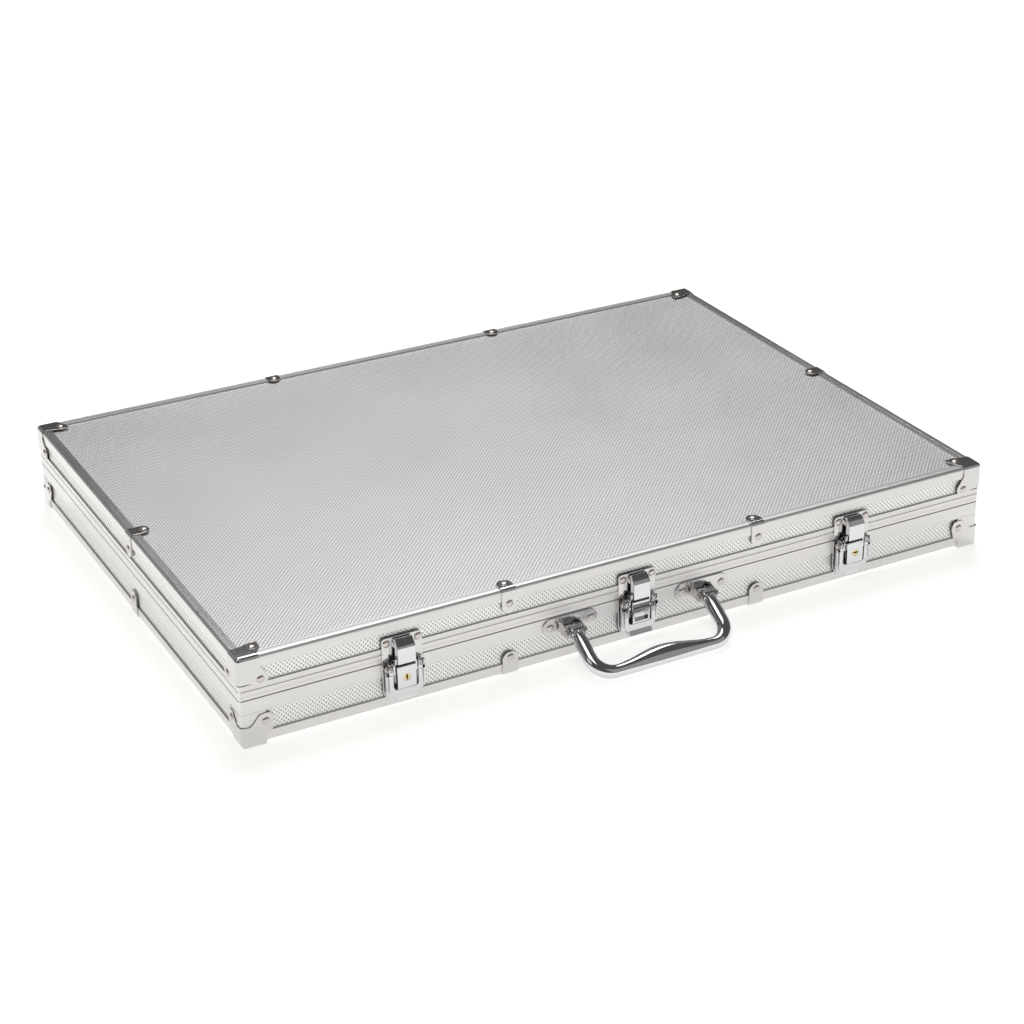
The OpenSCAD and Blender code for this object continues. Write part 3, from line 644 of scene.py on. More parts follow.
def clip_places(body):
    """The matrix and kind of each clip; locally X runs along the edge and Y points inward."""
    flip = Matrix.Diagonal((1, 1, -1 if body == "lid" else 1, 1))
    height = TOP_Z if body == "lid" else 0
    for side in SIDES:
        long_side = side in ("front", "back")
        spin = Matrix.Rotation(math.radians(SIDE_TURNS[side]), 4, "Z")
        out = Matrix.Translation((0, -(HALF_D if long_side else HALF_W), 0))
        for along in (-CLIP_X, CLIP_X) if long_side else (CLIP_END_Y,):
            at = (along, MID_Y, height) if long_side else (0, MID_Y + along, height)
            yield Matrix.Translation(at) @ spin @ out @ flip, "long" if long_side else "end"


def clip_shell(clip, sizes):
    """An L strap with round ends."""
    width, flat_leg, _, side_leg, _ = clip
    r = width / 2
    flat = [(-r, 0), (r, 0)] + arc((0, flat_leg - r), r, 0, 180, 12)
    side = [(-r, 0), (r, 0)] + arc((0, side_leg - r), r, 0, 180, 12)
    return pressed_shell([[(x, y, 0) for x, y in flat], [(x, 0, z) for x, z in side]], sizes)


def build_caps(sizes):
    """Four pressed corner caps on the lid and four on the base."""
    for body in ("base", "lid"):
        cap = pressed_shell(cap_outlines(body), sizes)
        bm = bmesh.new()
        for place in corner_places(body):
            merge(bm, cap, place)
        cap.free()
        make_piece(
            f"{body}_pressed_caps", bm, body, ["nickel_plated_steel"],
            [f"{body}_corner_caps"], 40,
        )


def build_corner_sheaths():
    """Plain sheet wrapped round the base's corners, behind the caps."""
    bm = bmesh.new()
    reach, skin, radius = 17.5, CAP_T - 0.12, 2.4
    outer = [(reach, skin)] + arc((skin + radius, skin + radius), radius, 270, 180, 8) + [(skin, reach)]
    inner = [(CAP_T + 0.6, reach), (CAP_T + 0.6, CAP_T + 3), (CAP_T + 3, CAP_T + 0.6)]
    sheath = bmesh.new()
    prism(sheath, outer + inner + [(reach, CAP_T + 0.6)], 8, 23.2, "Z")
    for place in corner_places("base"):
        merge(bm, sheath, place)
    sheath.free()
    make_piece(
        "base_corner_sheaths", bm, "base", ["anodised_extrusion_X"], [], 40
    )


def build_clips(sizes):
    """Riveted straps that tie the edge extrusions to the boards."""
    for body in ("base", "lid"):
        bm = bmesh.new()
        for place, kind in clip_places(body):
            clip = clip_shell(CLIPS[body, kind], sizes)
            merge(bm, clip, place)
            clip.free()
        make_piece(
            f"{body}_pressed_clips", bm, body, ["nickel_plated_steel"],
            [f"{body}_edge_clips"], 40,
        )


# ---------- Rivets ----------

# Profiles as (radius, height), from the axis outwards and back
RIVET_PROFILE = [(0, 1.0), (0.9, 0.97), (1.7, 0.8), (2.35, 0.45), (2.65, 0.12), (2.7, 0), (0, 0)]
FLUSH_PROFILE = [(0, -0.05), (1.3, -0.05), (1.5, -0.15), (1.5, -0.6), (0, -0.6)]
HINGE_X = 170
HINGE_RIVETS = (-19, 0, 19)
HINGE_RIVET_DROP = 6.6
# Rivets of a catch plate and of a handle bracket, as (distance from its middle, height)
CATCH_RIVET = (11, 46.8)
BRACKET_RIVET = (15, 26)
# Turns that point a rivet out of each kind of face
OUT = {
    "flat": Matrix.Rotation(math.pi, 4, "X"),
    "long": Matrix.Rotation(math.radians(90), 4, "X"),
    "short": Matrix.Rotation(math.radians(-90), 4, "Y"),
}


def turned(profile, steps=20):
    """A profile of (radius, height) spun round Z."""
    bm = bmesh.new()
    verts = [bm.verts.new((r, 0, z)) for r, z in profile]
    edges = [bm.edges.new(pair) for pair in zip(verts, verts[1:])]
    bmesh.ops.spin(
        bm, geom=verts + edges, cent=(0, 0, 0), axis=(0, 0, 1), angle=math.tau,
        steps=steps, use_merge=True,
    )
    bmesh.ops.remove_doubles(bm, verts=bm.verts, dist=0.001)
    bmesh.ops.recalc_face_normals(bm, faces=bm.faces)
    return bm


def rivet_places(body):
    """Matrices for the domed rivets and for the flush ones under the base."""
    domed, flush = [], []
    flat_list = domed if body == "lid" else flush
    flat, long_side, short_side = CAP_RIVETS[body]
    for place in corner_places(body):
        flat_list.append(place @ Matrix.Translation((*flat, 0)) @ OUT["flat"])
        domed.append(place @ Matrix.Translation((long_side[0], 0, long_side[1])) @ OUT["long"])
        domed.append(place @ Matrix.Translation((0, *short_side)) @ OUT["short"])
    for place, kind in clip_places(body):
        _, _, flat_at, _, side_at = CLIPS[body, kind]
        flat_list.append(place @ Matrix.Translation((0, flat_at, 0)) @ OUT["flat"])
        domed.append(place @ Matrix.Translation((0, 0, side_at)) @ OUT["long"])
    drop = HINGE_RIVET_DROP if body == "lid" else -HINGE_RIVET_DROP
    back = Matrix.Rotation(math.radians(-90), 4, "X")
    for x in (-HINGE_X, HINGE_X):
        for u in HINGE_RIVETS:
            at = (x + u, REAR_Y + 1.2, PIVOTS["lid_hinge"].z + drop)
            domed.append(Matrix.Translation(at) @ back)
    middles = LATCHES.values() if body == "lid" else (-BRACKET_X, BRACKET_X)
    off, z = CATCH_RIVET if body == "lid" else BRACKET_RIVET
    for x in middles:
        for s in (-1, 1):
            domed.append(Matrix.Translation((x + s * off, FACE_Y - 1, z)) @ OUT["long"])
    return domed, flush


def build_rivets():
    """Domed rivets all round, and flush ones under the case."""
    dome, plug = turned(RIVET_PROFILE), turned(FLUSH_PROFILE)
    for body in ("base", "lid"):
        bm = bmesh.new()
        domed, flush = rivet_places(body)
        for place in domed:
            merge(bm, dome, place)
        for place in flush:
            merge(bm, plug, place)
        make_piece(
            f"{body}_rivet_heads", bm, body, ["drawn_rivet_steel"],
            [f"{body}_rivets"], 50,
        )
    dome.free()
    plug.free()


# ---------- Latches ----------
# Latch places are (distance out from the front face, height); u is measured from its middle.

PLATE_HALF_W = 14
LEVER_HALF_W = 13.3
HOOK_HALF_W = 6.3
LOCK_HALF_W = 6.5
LOCK_OUT = 7
LOCK_Z = (15.8, 31.4)
PLUG_Z = 23.4
PLUG_R = 2.55


def face_y(out):
    """The Y of a distance out from the front face."""
    return FACE_Y - out


def side_prism(bm, outline, x0, x1):
    """Extrudes an outline of (distance out, height) along X."""
    prism(bm, [(face_y(o), z) for o, z in outline], x0, x1, "X")


def face_prism(bm, outline, x, out0, out1):
    """Extrudes an outline of (u, height) out from the front face."""
    prism(bm, [(x + u, z) for u, z in outline], face_y(out0), face_y(out1), "Y")


def latch_axis(joint):
    """A latch pivot as (distance out, height)."""
    return FACE_Y - PIVOTS[joint].y, PIVOTS[joint].z


def plate_outline(half_w, low, high, r_low, r_high):
    """A plate with two lower and two upper corner radii."""
    return (
        arc((half_w - r_low, low + r_low), r_low, -90, 0, 8)
        + arc((half_w - r_high, high - r_high), r_high, 0, 90, 4)
        + arc((r_high - half_w, high - r_high), r_high, 90, 180, 4)
        + arc((r_low - half_w, low + r_low), r_low, 180, 270, 8)
    )


def build_latch_plates():
    """Base plates with ears, and catch plates with a ledge."""
    plates, catches = bmesh.new(), bmesh.new()
    for side, x in LATCHES.items():
        out, z = latch_axis(f"{side}_lever_pivot")
        face_prism(plates, plate_outline(PLATE_HALF_W, 5.5, 32.3, 8, 1), x, 0, 1)
        ear = arc((out, z), 2.4, -60, 120, 12) + [(1, z + 2.2), (1, z - 2.4)]
        for u in (10.1, -11.1):
            side_prism(plates, ear, x + u, x + u + 1)
        face_prism(catches, plate_outline(PLATE_HALF_W, 33.4, 50.5, 1, 2.2), x, 0, 1)
        ledge = [(1, 43.5), (2.9, 43.5), (2.9, 46.7), (2.6, 47), (1, 47)]
        side_prism(catches, ledge, x - HOOK_HALF_W, x + HOOK_HALF_W)
    soften(plates, 0.25)
    soften(catches, 0.25)
    make_piece(
        "latch_base_pressings", plates, "base", ["nickel_plated_steel"],
        ["latch_base_plates"],
    )
    make_piece(
        "latch_catch_pressings", catches, "lid", ["nickel_plated_steel"],
        ["catch_plates"],
    )
    paint_node("lever_pins", "drawn_rivet_steel")


def lever_u(half_w, low, r):
    """The outline of a U whose window stays the same, from its outer half width and radius."""
    return (
        [(half_w, 26.7), (half_w, low + r)] + arc((half_w - r, low + r), r, 0, -90, 8)
        + arc((r - half_w, low + r), r, -90, -180, 8) + [(-half_w, 26.7), (-8.5, 26.7)]
        + arc((-6.5, 17), 2, 180, 270, 4) + arc((6.5, 17), 2, 270, 360, 4) + [(8.5, 26.7)]
    )


def build_lever(side):
    """A pressed U frame, raised from a brim, whose legs curl round the pivot pins."""
    x = LATCHES[side]
    pivot, hook = latch_axis(f"{side}_lever_pivot"), latch_axis(f"{side}_hook_pivot")
    frame_bm = bmesh.new()

    def press(outline, near, far, width, cut=None):
        """Adds one softened part of the pressing, between two places across it."""
        part = bmesh.new()
        side_prism(part, outline, x + min(near, far), x + max(near, far))
        if cut:
            slice_off(part, *cut)
        join(frame_bm, part, width)

    for half_w, low, r, out0, out1, width in (
        (LEVER_HALF_W, 6, 8, 1.7, 3.3, 0.5), (11.6, 8.3, 6.4, 2.6, 5.5, 1.1),
    ):
        part = bmesh.new()
        face_prism(part, lever_u(half_w, low, r), x, out0, out1)
        join(frame_bm, part, width, 3)
    leg = [(3.2, 25.6), (5.5, 25.6), (5.5, 28)] + arc(pivot, 2.95, -48, -14, 5)
    leg += arc(pivot, 2.5, -14, -72, 6) + [(4, 27.6), (3.2, 26.6)]
    curl = [(3.2, 25.6), (5.5, 25.6), (5.5, 28)] + arc(pivot, 2.95, -48, 200, 20)
    curl += [(1.7, 28.6), (3.2, 26.6)]
    arm = [(3.9, 24), (5.4, 24), (5.4, 28.4)] + arc(pivot, 2.95, 0, 190, 18)
    arm += [(1.6, hook[1] + 1)] + arc(hook, 1.7, 180, 270, 5)
    for s in (-1, 1):
        corner = ((x + s * LEVER_HALF_W, 0, 29.8), (s * 0.83, 0, 0.56))
        press(leg, s * 9.6, s * 13.15, 0.12, corner)
        press(curl, s * 11.4, s * 13.15, 0.15, corner)
        press(arm, s * 8.6, s * 9.8, 0.2)
        press([(1.7, 14), (4.6, 14), (4.6, 27.6), (1.7, 25.6)], s * 12.4, s * LEVER_HALF_W, 0.25)
    if side == "middle":
        grip = [(2.6, 6.2), (6.7, 6.1), (7.3, 6.7), (6.9, 8.2), (5.3, 10.5), (2.6, 10.5)]
        press(grip, -8.4, 8.4, 0.55)
    else:
        grip = [(2.6, 6.1), (3.9, 6.1), (4.3, 6.6), (3.9, 8.2), (2.6, 8.9)]
        press(grip, -6.2, 6.2, 0.3)
    make_piece(
        f"{side}_lever_pressing", frame_bm, f"{side}_lever_body", ["polished_chrome"],
        [f"{side}_lever"],
    )
    paint_node(f"{side}_hook_pins", "drawn_rivet_steel")


def build_hook(side):
    """The hook: a broad bright face, a sloping top that laps the catch, and two side arms."""
    x = LATCHES[side]
    hook = latch_axis(f"{side}_hook_pivot")
    nose = bmesh.new()
    side_prism(
        nose,
        [(3.2, 32.3), (5, 32.3), (5, 33.6), (8, 33.6), (8, 45), (6.4, 46.7), (4.6, 48.35),
         (2.7, 49.75), (1.6, 49.75), (1.6, 47.4), (3.2, 47.4)],
        x - HOOK_HALF_W, x + HOOK_HALF_W,
    )
    soften(nose, 0.55, 4)
    for s in (-1, 1):
        arm = bmesh.new()
        outline = arc(hook, 1.95, 180, 340, 10) + [(4.9, 27.6), (4.9, 36.4), (3.3, 36.4), (1.9, 31)]
        low, high = sorted((x + s * 6.2, x + s * 8.25))
        side_prism(arm, [(3.25, 32.4), (4.9, 32.4), (4.9, 36.4), (3.25, 36.4)], low, high)
        low, high = sorted((x + s * 6.95, x + s * 8.25))
        side_prism(arm, outline, low, high)
        join(nose, arm, 0.18)
    make_piece(
        f"{side}_hook_pressing", nose, f"{side}_hook_body", ["polished_chrome"],
        [f"{side}_hook"],
    )


def build_locks():
    """Lock housings with their key plugs, and the ribbed cover of the middle latch."""
    for side, keyway in (("left", 0), ("right", 90)):
        x = LATCHES[side]
        tile = bmesh.new()
        slab(tile, (x - LOCK_HALF_W, face_y(LOCK_OUT), LOCK_Z[0]), (x + LOCK_HALF_W, face_y(1), LOCK_Z[1]))
        soften(tile, 0.45, 3)
        hole = bmesh.new()
        bar(hole, (x, face_y(3), PLUG_Z), (x, face_y(8), PLUG_Z), PLUG_R + 0.05)
        tile = cut_out(tile, hole)
        make_piece(
            f"{side}_lock_housing", tile, "base", ["polished_chrome"],
            [f"{side}_lock_body"],
        )
        plug = bmesh.new()
        bar(plug, (x, face_y(3.1), PLUG_Z), (x, face_y(6.9), PLUG_Z), PLUG_R)
        soften(plug, 0.25, 2)
        spin = Matrix.Rotation(math.radians(keyway), 4, "Y")
        spin = Matrix.Translation((x, face_y(6.2), PLUG_Z)) @ spin
        slot, eye = bmesh.new(), bmesh.new()
        slab(slot, (-0.55, -4, -2), (0.55, 2.6, 2))
        bar(eye, (0, -4, 0.5), (0, 2.4, 0.5), 1, 12)
        for cutter in (slot, eye):
            bmesh.ops.transform(cutter, matrix=spin, verts=cutter.verts)
            plug = cut_out(plug, cutter)
        make_piece(
            f"{side}_key_plug", plug, f"{side}_plug_body", ["turned_brass"],
            [f"{side}_lock_plug"],
        )
    cover, cuts = bmesh.new(), bmesh.new()
    slab(cover, (-LOCK_HALF_W, face_y(LOCK_OUT), LOCK_Z[0]), (LOCK_HALF_W, face_y(1), LOCK_Z[1]))
    soften(cover, 0.4, 2)
    slab(cuts, (-5, face_y(8), 17.3), (5, face_y(4.6), 23.6))
    for z in (25, 28.2):
        slab(cuts, (-7, face_y(8), z), (7, face_y(6.05), z + 1.6))
    cover = cut_out(cover, cuts)
    soften(cover, 0.15, 1, 60)
    make_piece(
        "middle_latch_ribbed_cover", cover, "base", ["polished_chrome"],
        ["middle_latch_cover"],
    )


# ---------- Handle ----------

BAR_R = 5
GRIP_REACH = 34.25
BEND_R = 13
FLOOR_GAP = 0.3


def build_brackets():
    """Round-ended plates with two ears each, and the headed pins through them."""
    out, z = latch_axis("handle_pivot")
    plates, pins = bmesh.new(), bmesh.new()
    for x in (-BRACKET_X, BRACKET_X):
        outline = arc((13.75, 26), 6.5, -90, 90, 12) + arc((-13.75, 26), 6.5, 90, 270, 12)
        plate = bmesh.new()
        face_prism(plate, outline, x, 0, 1)
        join(plates, plate, 0.4, 3)
        ear = [(1, 19.7), (out - 2, z - 3)] + arc((out, z), 3.2, -100, 70, 14) + [(2, 27.2), (1, 28.4)]
        for u in (5.6, -6.8):
            bm = bmesh.new()
            side_prism(bm, ear, x + u, x + u + 1.2)
            join(plates, bm, 0.25)
        at = (face_y(out), z)
        bar(pins, (x - 7, *at), (x + 7, *at), 1.6, 24)
        for s in (-1, 1):
            head = bmesh.new()
            bar(head, (x + s * 6.8, *at), (x + s * 7.8, *at), 2.6, 24)
            join(pins, head, 0.35)
    make_piece(
        "handle_bracket_pressings", plates, "base", ["nickel_plated_steel"],
        ["handle_brackets"],
    )
    make_piece(
        "handle_headed_pins", pins, "base", ["drawn_rivet_steel"], ["handle_pins"]
    )


def bow_stations():
    """Stations along the bow: (X, distance from the pivots), the way along it, the half
    thickness in its plane, the half thickness across it and the shift towards the hand."""
    leg = GRIP_REACH - BEND_R
    half = BRACKET_X - BEND_R
    stations = []
    for i in range(9):
        thick = min(BAR_R, 4.1 + 0.4 * i)
        stations.append(((-BRACKET_X, leg * i / 8), (0, 1), thick, thick, 0))
    for i in range(1, 12):
        s, c = math.sin(math.pi * i / 24), math.cos(math.pi * i / 24)
        place = (-half - BEND_R * c, leg + BEND_R * s)
        thin = 0.7 * (i / 12) ** 2
        stations.append((place, (s, c), BAR_R - thin, BAR_R - thin / 3, -thin))
    for i in range(21):
        x = half * (i / 20 - 1)
        wave = math.cos(math.pi * x / half)
        swell = 1.35 + 2.75 * wave
        across = BAR_R - 0.115 * (1 - wave)
        stations.append(((x, GRIP_REACH), (1, 0), BAR_R + swell / 2, across, swell / 2))
    mirrored = [((-p[0], p[1]), (d[0], -d[1]), a, b, c) for p, d, a, b, c in stations[-2::-1]]
    return stations + mirrored


def build_bow():
    """The bow: a round bar bent twice, with a grip that swells towards the hand."""
    pivot = PIVOTS["handle_pivot"]
    rest = math.asin((pivot.z - BAR_R - FLOOR_GAP) / GRIP_REACH)
    away = Vector((0, -math.cos(rest), -math.sin(rest)))
    across = Vector((0, math.sin(rest), -math.cos(rest)))
    origin = Vector((0, pivot.y, pivot.z))
    bm = bmesh.new()
    last = None
    for (x, reach), (dx, dd), thick, wide, shift in bow_stations():
        along = Vector((dx, 0, 0)) + away * dd
        inward = Vector((dd, 0, 0)) - away * dx
        centre = origin + Vector((x, 0, 0)) + away * reach + inward * shift
        rows = Matrix((inward * thick, across * wide, along)).transposed().to_4x4()
        ring = bmesh.ops.create_circle(
            bm, cap_ends=False, segments=32, radius=1, matrix=Matrix.Translation(centre) @ rows
        )["verts"]
        edges = list({e for v in ring for e in v.link_edges})
        if last:
            bmesh.ops.bridge_loops(bm, edges=last + edges)
        last = edges
    open_edges = [e for e in bm.edges if e.is_boundary]
    bmesh.ops.edgenet_fill(bm, edges=open_edges)
    bmesh.ops.recalc_face_normals(bm, faces=bm.faces)
    for x in (-BRACKET_X, BRACKET_X):
        eye = bmesh.new()
        bar(eye, (x - 4.7, pivot.y, pivot.z), (x + 4.7, pivot.y, pivot.z), 4.3, 40)
        join(bm, eye, 1.6, 5)
    make_piece("bow_bent_bar", bm, "handle", ["polished_chrome"], ["handle_bow"], 50)


def build_hinges():
    """Hinge leaves and pins carried over from the frame."""
    for node in ("hinge_base_leaves", "hinge_lid_leaves"):
        paint_node(node, "nickel_plated_steel")
    paint_node("hinge_pins", "drawn_rivet_steel")


# ---------- Trays and lid pad ----------

CHANNELS = 5
CHANNEL_PITCH = 41.8
CHANNEL_R = 20.5
CHANNEL_L = 172
# Wells of the middle tray: width, length, depth, distance back from its middle
WELLS = ((94, 68, 20, -144), (94, 68, 20, 144), (90, 20, 16, -80), (50, 16, 12, 80))
BUTTON_R = 26
BUTTON_DEPTH = 8
# Moulded bumps of the lid pad: their pitch, how far they stand, and the flat border
BUMP_PITCH = 24
BUMP_RISE = 0.9
PAD_BORDER = 8


def tray_block(node):
    """The outer block of a tray, and its highest level."""
    low, high = corner_mm(node, False), corner_mm(node, True)
    bm = bmesh.new()
    slab(bm, low, high)
    return bm, low, high


def build_chip_tray(side):
    """A foam tray with five half-round channels, front and back."""
    tray, low, high = tray_block(f"{side}_chip_tray")
    middle = (low + high) / 2
    step_y = (high.y - low.y) / 4
    for i in range(CHANNELS):
        for s in (-1, 1):
            x = middle.x + (i - (CHANNELS - 1) / 2) * CHANNEL_PITCH
            y = middle.y + s * step_y
            channel = bmesh.new()
            bar(channel, (x, y - CHANNEL_L / 2, high.z), (x, y + CHANNEL_L / 2, high.z), CHANNEL_R, 48)
            tray = cut_out(tray, channel)
    soften(tray, 0.3, 2, 40)
    piece = make_piece(
        f"{side}_channelled_foam", tray, "base", ["flocked_foam"], [f"{side}_chip_tray"]
    )


def build_accessory_tray():
    """The middle tray, with wells for cards, dice, dealer button and keys."""
    tray, low, high = tray_block("accessory_tray")
    middle = (low + high) / 2
    for width, length, depth, y in WELLS:
        well = bmesh.new()
        front, back = middle.y + y - length / 2, middle.y + y + length / 2
        slab(well, (-width / 2, front, high.z - depth), (width / 2, back, high.z + 1))
        tray = cut_out(tray, well)
    well = bmesh.new()
    bar(well, (0, middle.y, high.z - BUTTON_DEPTH), (0, middle.y, high.z + 1), BUTTON_R, 64)
    tray = cut_out(tray, well)
    soften(tray, 0.4, 2, 40)
    piece = make_piece(
        "accessory_foam", tray, "base", ["flocked_foam"], ["accessory_tray"]
    )


def build_lid_pad():
    """The foam slab in the lid, its lower face moulded in soft bumps."""
    low, high = corner_mm("lid_pad", False), corner_mm("lid_pad", True)
    size = high - low
    columns, rows = 180, 126
    bm = bmesh.new()
    bmesh.ops.create_grid(
        bm, x_segments=columns, y_segments=rows, size=0.5,
        matrix=Matrix.Translation((0, MID_Y, high.z)) @ Matrix.Diagonal((size.x, size.y, 1, 1)),
    )
    grown = bmesh.ops.extrude_face_region(bm, geom=bm.faces[:], use_keep_orig=True)
    bottom = [v for v in grown["geom"] if isinstance(v, bmesh.types.BMVert)]
    for v in bottom:
        edge = min(v.co.x + size.x / 2, size.x / 2 - v.co.x, size.y / 2 - abs(v.co.y - MID_Y))
        turn_x, turn_y = math.tau * v.co.x / BUMP_PITCH, math.tau * (v.co.y - MID_Y) / BUMP_PITCH
        bump = math.cos(turn_x) * math.cos(turn_y)
        fade = min(1, max(0, edge) / PAD_BORDER)
        v.co.z = low.z + (BUMP_RISE - BUMP_RISE * bump) * fade
    bmesh.ops.recalc_face_normals(bm, faces=bm.faces)
    piece = make_piece("lid_bumped_foam", bm, "lid", ["flocked_foam"], ["lid_pad"], 60)


# ---------- Stage ----------

# The camera's stand in millimetres from the case's middle, and its turn, rise and roll
CAMERA_AT = (-685.276, -1346.303, 762.844)
CAMERA_TURNS = (-27.35, 26.56, -1.024)
FLOOR_REACH = 12
# Each lamp: name, watts, size, place and what it is aimed at, in metres
LAMPS = (
    ("top_softbox", 7.5, 1.2, (-0.5, -0.5, 2.2), (0, 0, 0)),
    ("back_softbox", 26, 1.4, (0.6, 1.15, 2.1), (0, 0, 0)),
    ("left_softbox", 2.5, 1.0, (-2.2, -0.6, 1.3), (0, 0, 0)),
    ("front_card", 5.5, 2.6, (1.2, -2.4, 1.35), (0, 0, 0.1)),
    ("side_card", 3.5, 2.4, (-1.5, 2.4, 1.3), (0, 0, 0.1)),
)


def build_stage(sizes):
    """A pale floor, soft studio light and the camera."""
    scene = bpy.context.scene
    scene.view_settings.view_transform = "Standard"
    floor = bpy.data.meshes.new("floor")
    reach = FLOOR_REACH
    floor.from_pydata(
        [(-reach, -reach, 0), (reach, -reach, 0), (reach, reach, 0), (-reach, reach, 0)],
        [], [(0, 1, 2, 3)],
    )
    floor.materials.append(finish("pale_floor"))
    ground = bpy.data.objects.new("floor", floor)
    scene.collection.objects.link(ground)
    for name, power, size, at, aim in LAMPS:
        light = bpy.data.lights.new(name, "AREA")
        light.energy, light.size, light.shape = power, size, "SQUARE"
        lamp = bpy.data.objects.new(name, light)
        lamp.location = at
        lamp.rotation_euler = (Vector(aim) - Vector(at)).to_track_quat("-Z", "Y").to_euler()
        scene.collection.objects.link(lamp)
    world = bpy.data.worlds.new("studio")
    world.use_nodes = True
    ground_glow = world.node_tree.nodes["Background"]
    ground_glow.inputs["Color"].default_value = linear("585858")
    ground_glow.inputs["Strength"].default_value = 1.0
    scene.world = world
    camera = bpy.data.cameras.new("camera")
    camera.lens, camera.sensor_width = sizes.lens, 36
    camera.clip_end = 50
    eye = bpy.data.objects.new("camera", camera)
    turn, rise, roll = (math.radians(angle) for angle in CAMERA_TURNS)
    place = Vector((CAMERA_AT[0], MID_Y + CAMERA_AT[1], CAMERA_AT[2])) * MM
    eye.matrix_world = (
        Matrix.Translation(place)
        @ Matrix.Rotation(turn, 4, "Z")
        @ Matrix.Rotation(math.pi / 2 - rise, 4, "X")
        @ Matrix.Rotation(roll, 4, "Z")
    )
    scene.collection.objects.link(eye)
    scene.camera = eye


# ---------- Operators ----------


class CHIPCASE_OT_finishes(bpy.types.Operator):
    """Make every material of the case"""

    bl_idname = "chipcase.finishes"
    bl_label = "Finishes"
    bl_options = {"REGISTER", "UNDO"}

    def execute(self, context):
        make_finishes(context.scene)
        return {"FINISHED"}


class CHIPCASE_OT_panels(bpy.types.Operator):
    """Cover the boards of the base and the lid in embossed sheet"""

    bl_idname = "chipcase.panels"
    bl_label = "Panels"
    bl_options = {"REGISTER", "UNDO"}

    def execute(self, context):
        build_panels()
        return {"FINISHED"}


class CHIPCASE_OT_extrusions(bpy.types.Operator):
    """Fit the edge and rim extrusions"""

    bl_idname = "chipcase.extrusions"
    bl_label = "Extrusions"
    bl_options = {"REGISTER", "UNDO"}

    def execute(self, context):
        build_extrusions()
        return {"FINISHED"}


class CHIPCASE_OT_caps(bpy.types.Operator):
    """Fit the pressed corner caps"""

    bl_idname = "chipcase.caps"
    bl_label = "Corner caps"
    bl_options = {"REGISTER", "UNDO"}

    def execute(self, context):
        build_caps(context.scene.case_sizes)
        build_corner_sheaths()
        return {"FINISHED"}


class CHIPCASE_OT_clips(bpy.types.Operator):
    """Fit the edge clips"""

    bl_idname = "chipcase.clips"
    bl_label = "Edge clips"
    bl_options = {"REGISTER", "UNDO"}

    def execute(self, context):
        build_clips(context.scene.case_sizes)
        return {"FINISHED"}


class CHIPCASE_OT_rivets(bpy.types.Operator):
    """Set the rivets"""

    bl_idname = "chipcase.rivets"
    bl_label = "Rivets"
    bl_options = {"REGISTER", "UNDO"}

    def execute(self, context):
        build_rivets()
        return {"FINISHED"}


class CHIPCASE_OT_latches(bpy.types.Operator):
    """Fit the plates, levers and hooks of the three latches"""

    bl_idname = "chipcase.latches"
    bl_label = "Latches"
    bl_options = {"REGISTER", "UNDO"}

    def execute(self, context):
        build_latch_plates()
        for side in LATCHES:
            build_lever(side)
            build_hook(side)
        return {"FINISHED"}


class CHIPCASE_OT_locks(bpy.types.Operator):
    """Fit the locks, their key plugs and the middle cover"""

    bl_idname = "chipcase.locks"
    bl_label = "Locks"
    bl_options = {"REGISTER", "UNDO"}

    def execute(self, context):
        build_locks()
        return {"FINISHED"}


class CHIPCASE_OT_handle(bpy.types.Operator):
    """Fit the handle and its brackets"""

    bl_idname = "chipcase.handle"
    bl_label = "Handle"
    bl_options = {"REGISTER", "UNDO"}

    def execute(self, context):
        build_brackets()
        build_bow()
        return {"FINISHED"}


class CHIPCASE_OT_hinges(bpy.types.Operator):
    """Finish the hinges"""

    bl_idname = "chipcase.hinges"
    bl_label = "Hinges"
    bl_options = {"REGISTER", "UNDO"}

    def execute(self, context):
        build_hinges()
        return {"FINISHED"}


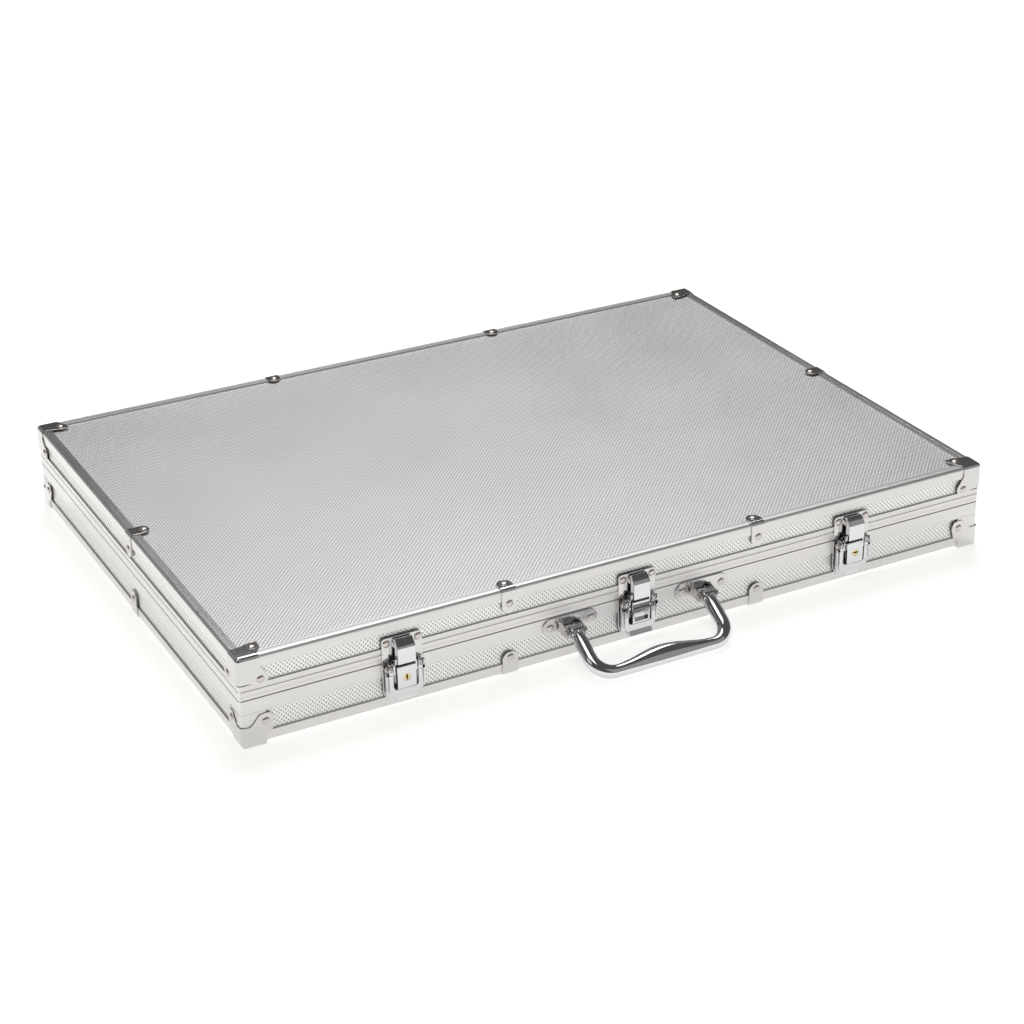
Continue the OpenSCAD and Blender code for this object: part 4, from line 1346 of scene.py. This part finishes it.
class CHIPCASE_OT_foam(bpy.types.Operator):
    """Fit the trays and the lid pad"""

    bl_idname = "chipcase.foam"
    bl_label = "Trays and lid pad"
    bl_options = {"REGISTER", "UNDO"}

    def execute(self, context):
        for side in ("left", "right"):
            build_chip_tray(side)
        build_accessory_tray()
        build_lid_pad()
        return {"FINISHED"}


class CHIPCASE_OT_stage(bpy.types.Operator):
    """Set up the floor, the light and the camera"""

    bl_idname = "chipcase.stage"
    bl_label = "Stage"
    bl_options = {"REGISTER", "UNDO"}

    def execute(self, context):
        build_stage(context.scene.case_sizes)
        return {"FINISHED"}


STEPS = (
    CHIPCASE_OT_finishes,
    CHIPCASE_OT_panels,
    CHIPCASE_OT_extrusions,
    CHIPCASE_OT_caps,
    CHIPCASE_OT_clips,
    CHIPCASE_OT_rivets,
    CHIPCASE_OT_latches,
    CHIPCASE_OT_locks,
    CHIPCASE_OT_handle,
    CHIPCASE_OT_hinges,
    CHIPCASE_OT_foam,
    CHIPCASE_OT_stage,
)


class CHIPCASE_PT_steps(bpy.types.Panel):
    """Lists the steps of the build"""

    bl_idname = "CHIPCASE_PT_steps"
    bl_label = "Chip Case"
    bl_space_type = "VIEW_3D"
    bl_region_type = "UI"
    bl_category = "Chip Case"

    def draw(self, context):
        for group in (context.scene.case_sizes, context.scene.case_finishes):
            for name in group.bl_rna.properties.keys():
                if name not in ("rna_type", "name"):
                    self.layout.prop(group, name)
        for step in STEPS:
            self.layout.operator(step.bl_idname)


CLASSES = (CaseSizes, CaseFinishes, *STEPS, CHIPCASE_PT_steps)


def register():
    """Adds the classes and the case's settings."""
    for cls in CLASSES:
        bpy.utils.register_class(cls)
    bpy.types.Scene.case_sizes = bpy.props.PointerProperty(type=CaseSizes)
    bpy.types.Scene.case_finishes = bpy.props.PointerProperty(type=CaseFinishes)


def unregister():
    """Removes them again."""
    del bpy.types.Scene.case_finishes
    del bpy.types.Scene.case_sizes
    for cls in reversed(CLASSES):
        bpy.utils.unregister_class(cls)


def main():
    """Registers the add-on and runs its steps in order."""
    register()
    for step in STEPS:
        group, name = step.bl_idname.split(".")
        getattr(getattr(bpy.ops, group), name)()


if __name__ == "__main__":
    main()
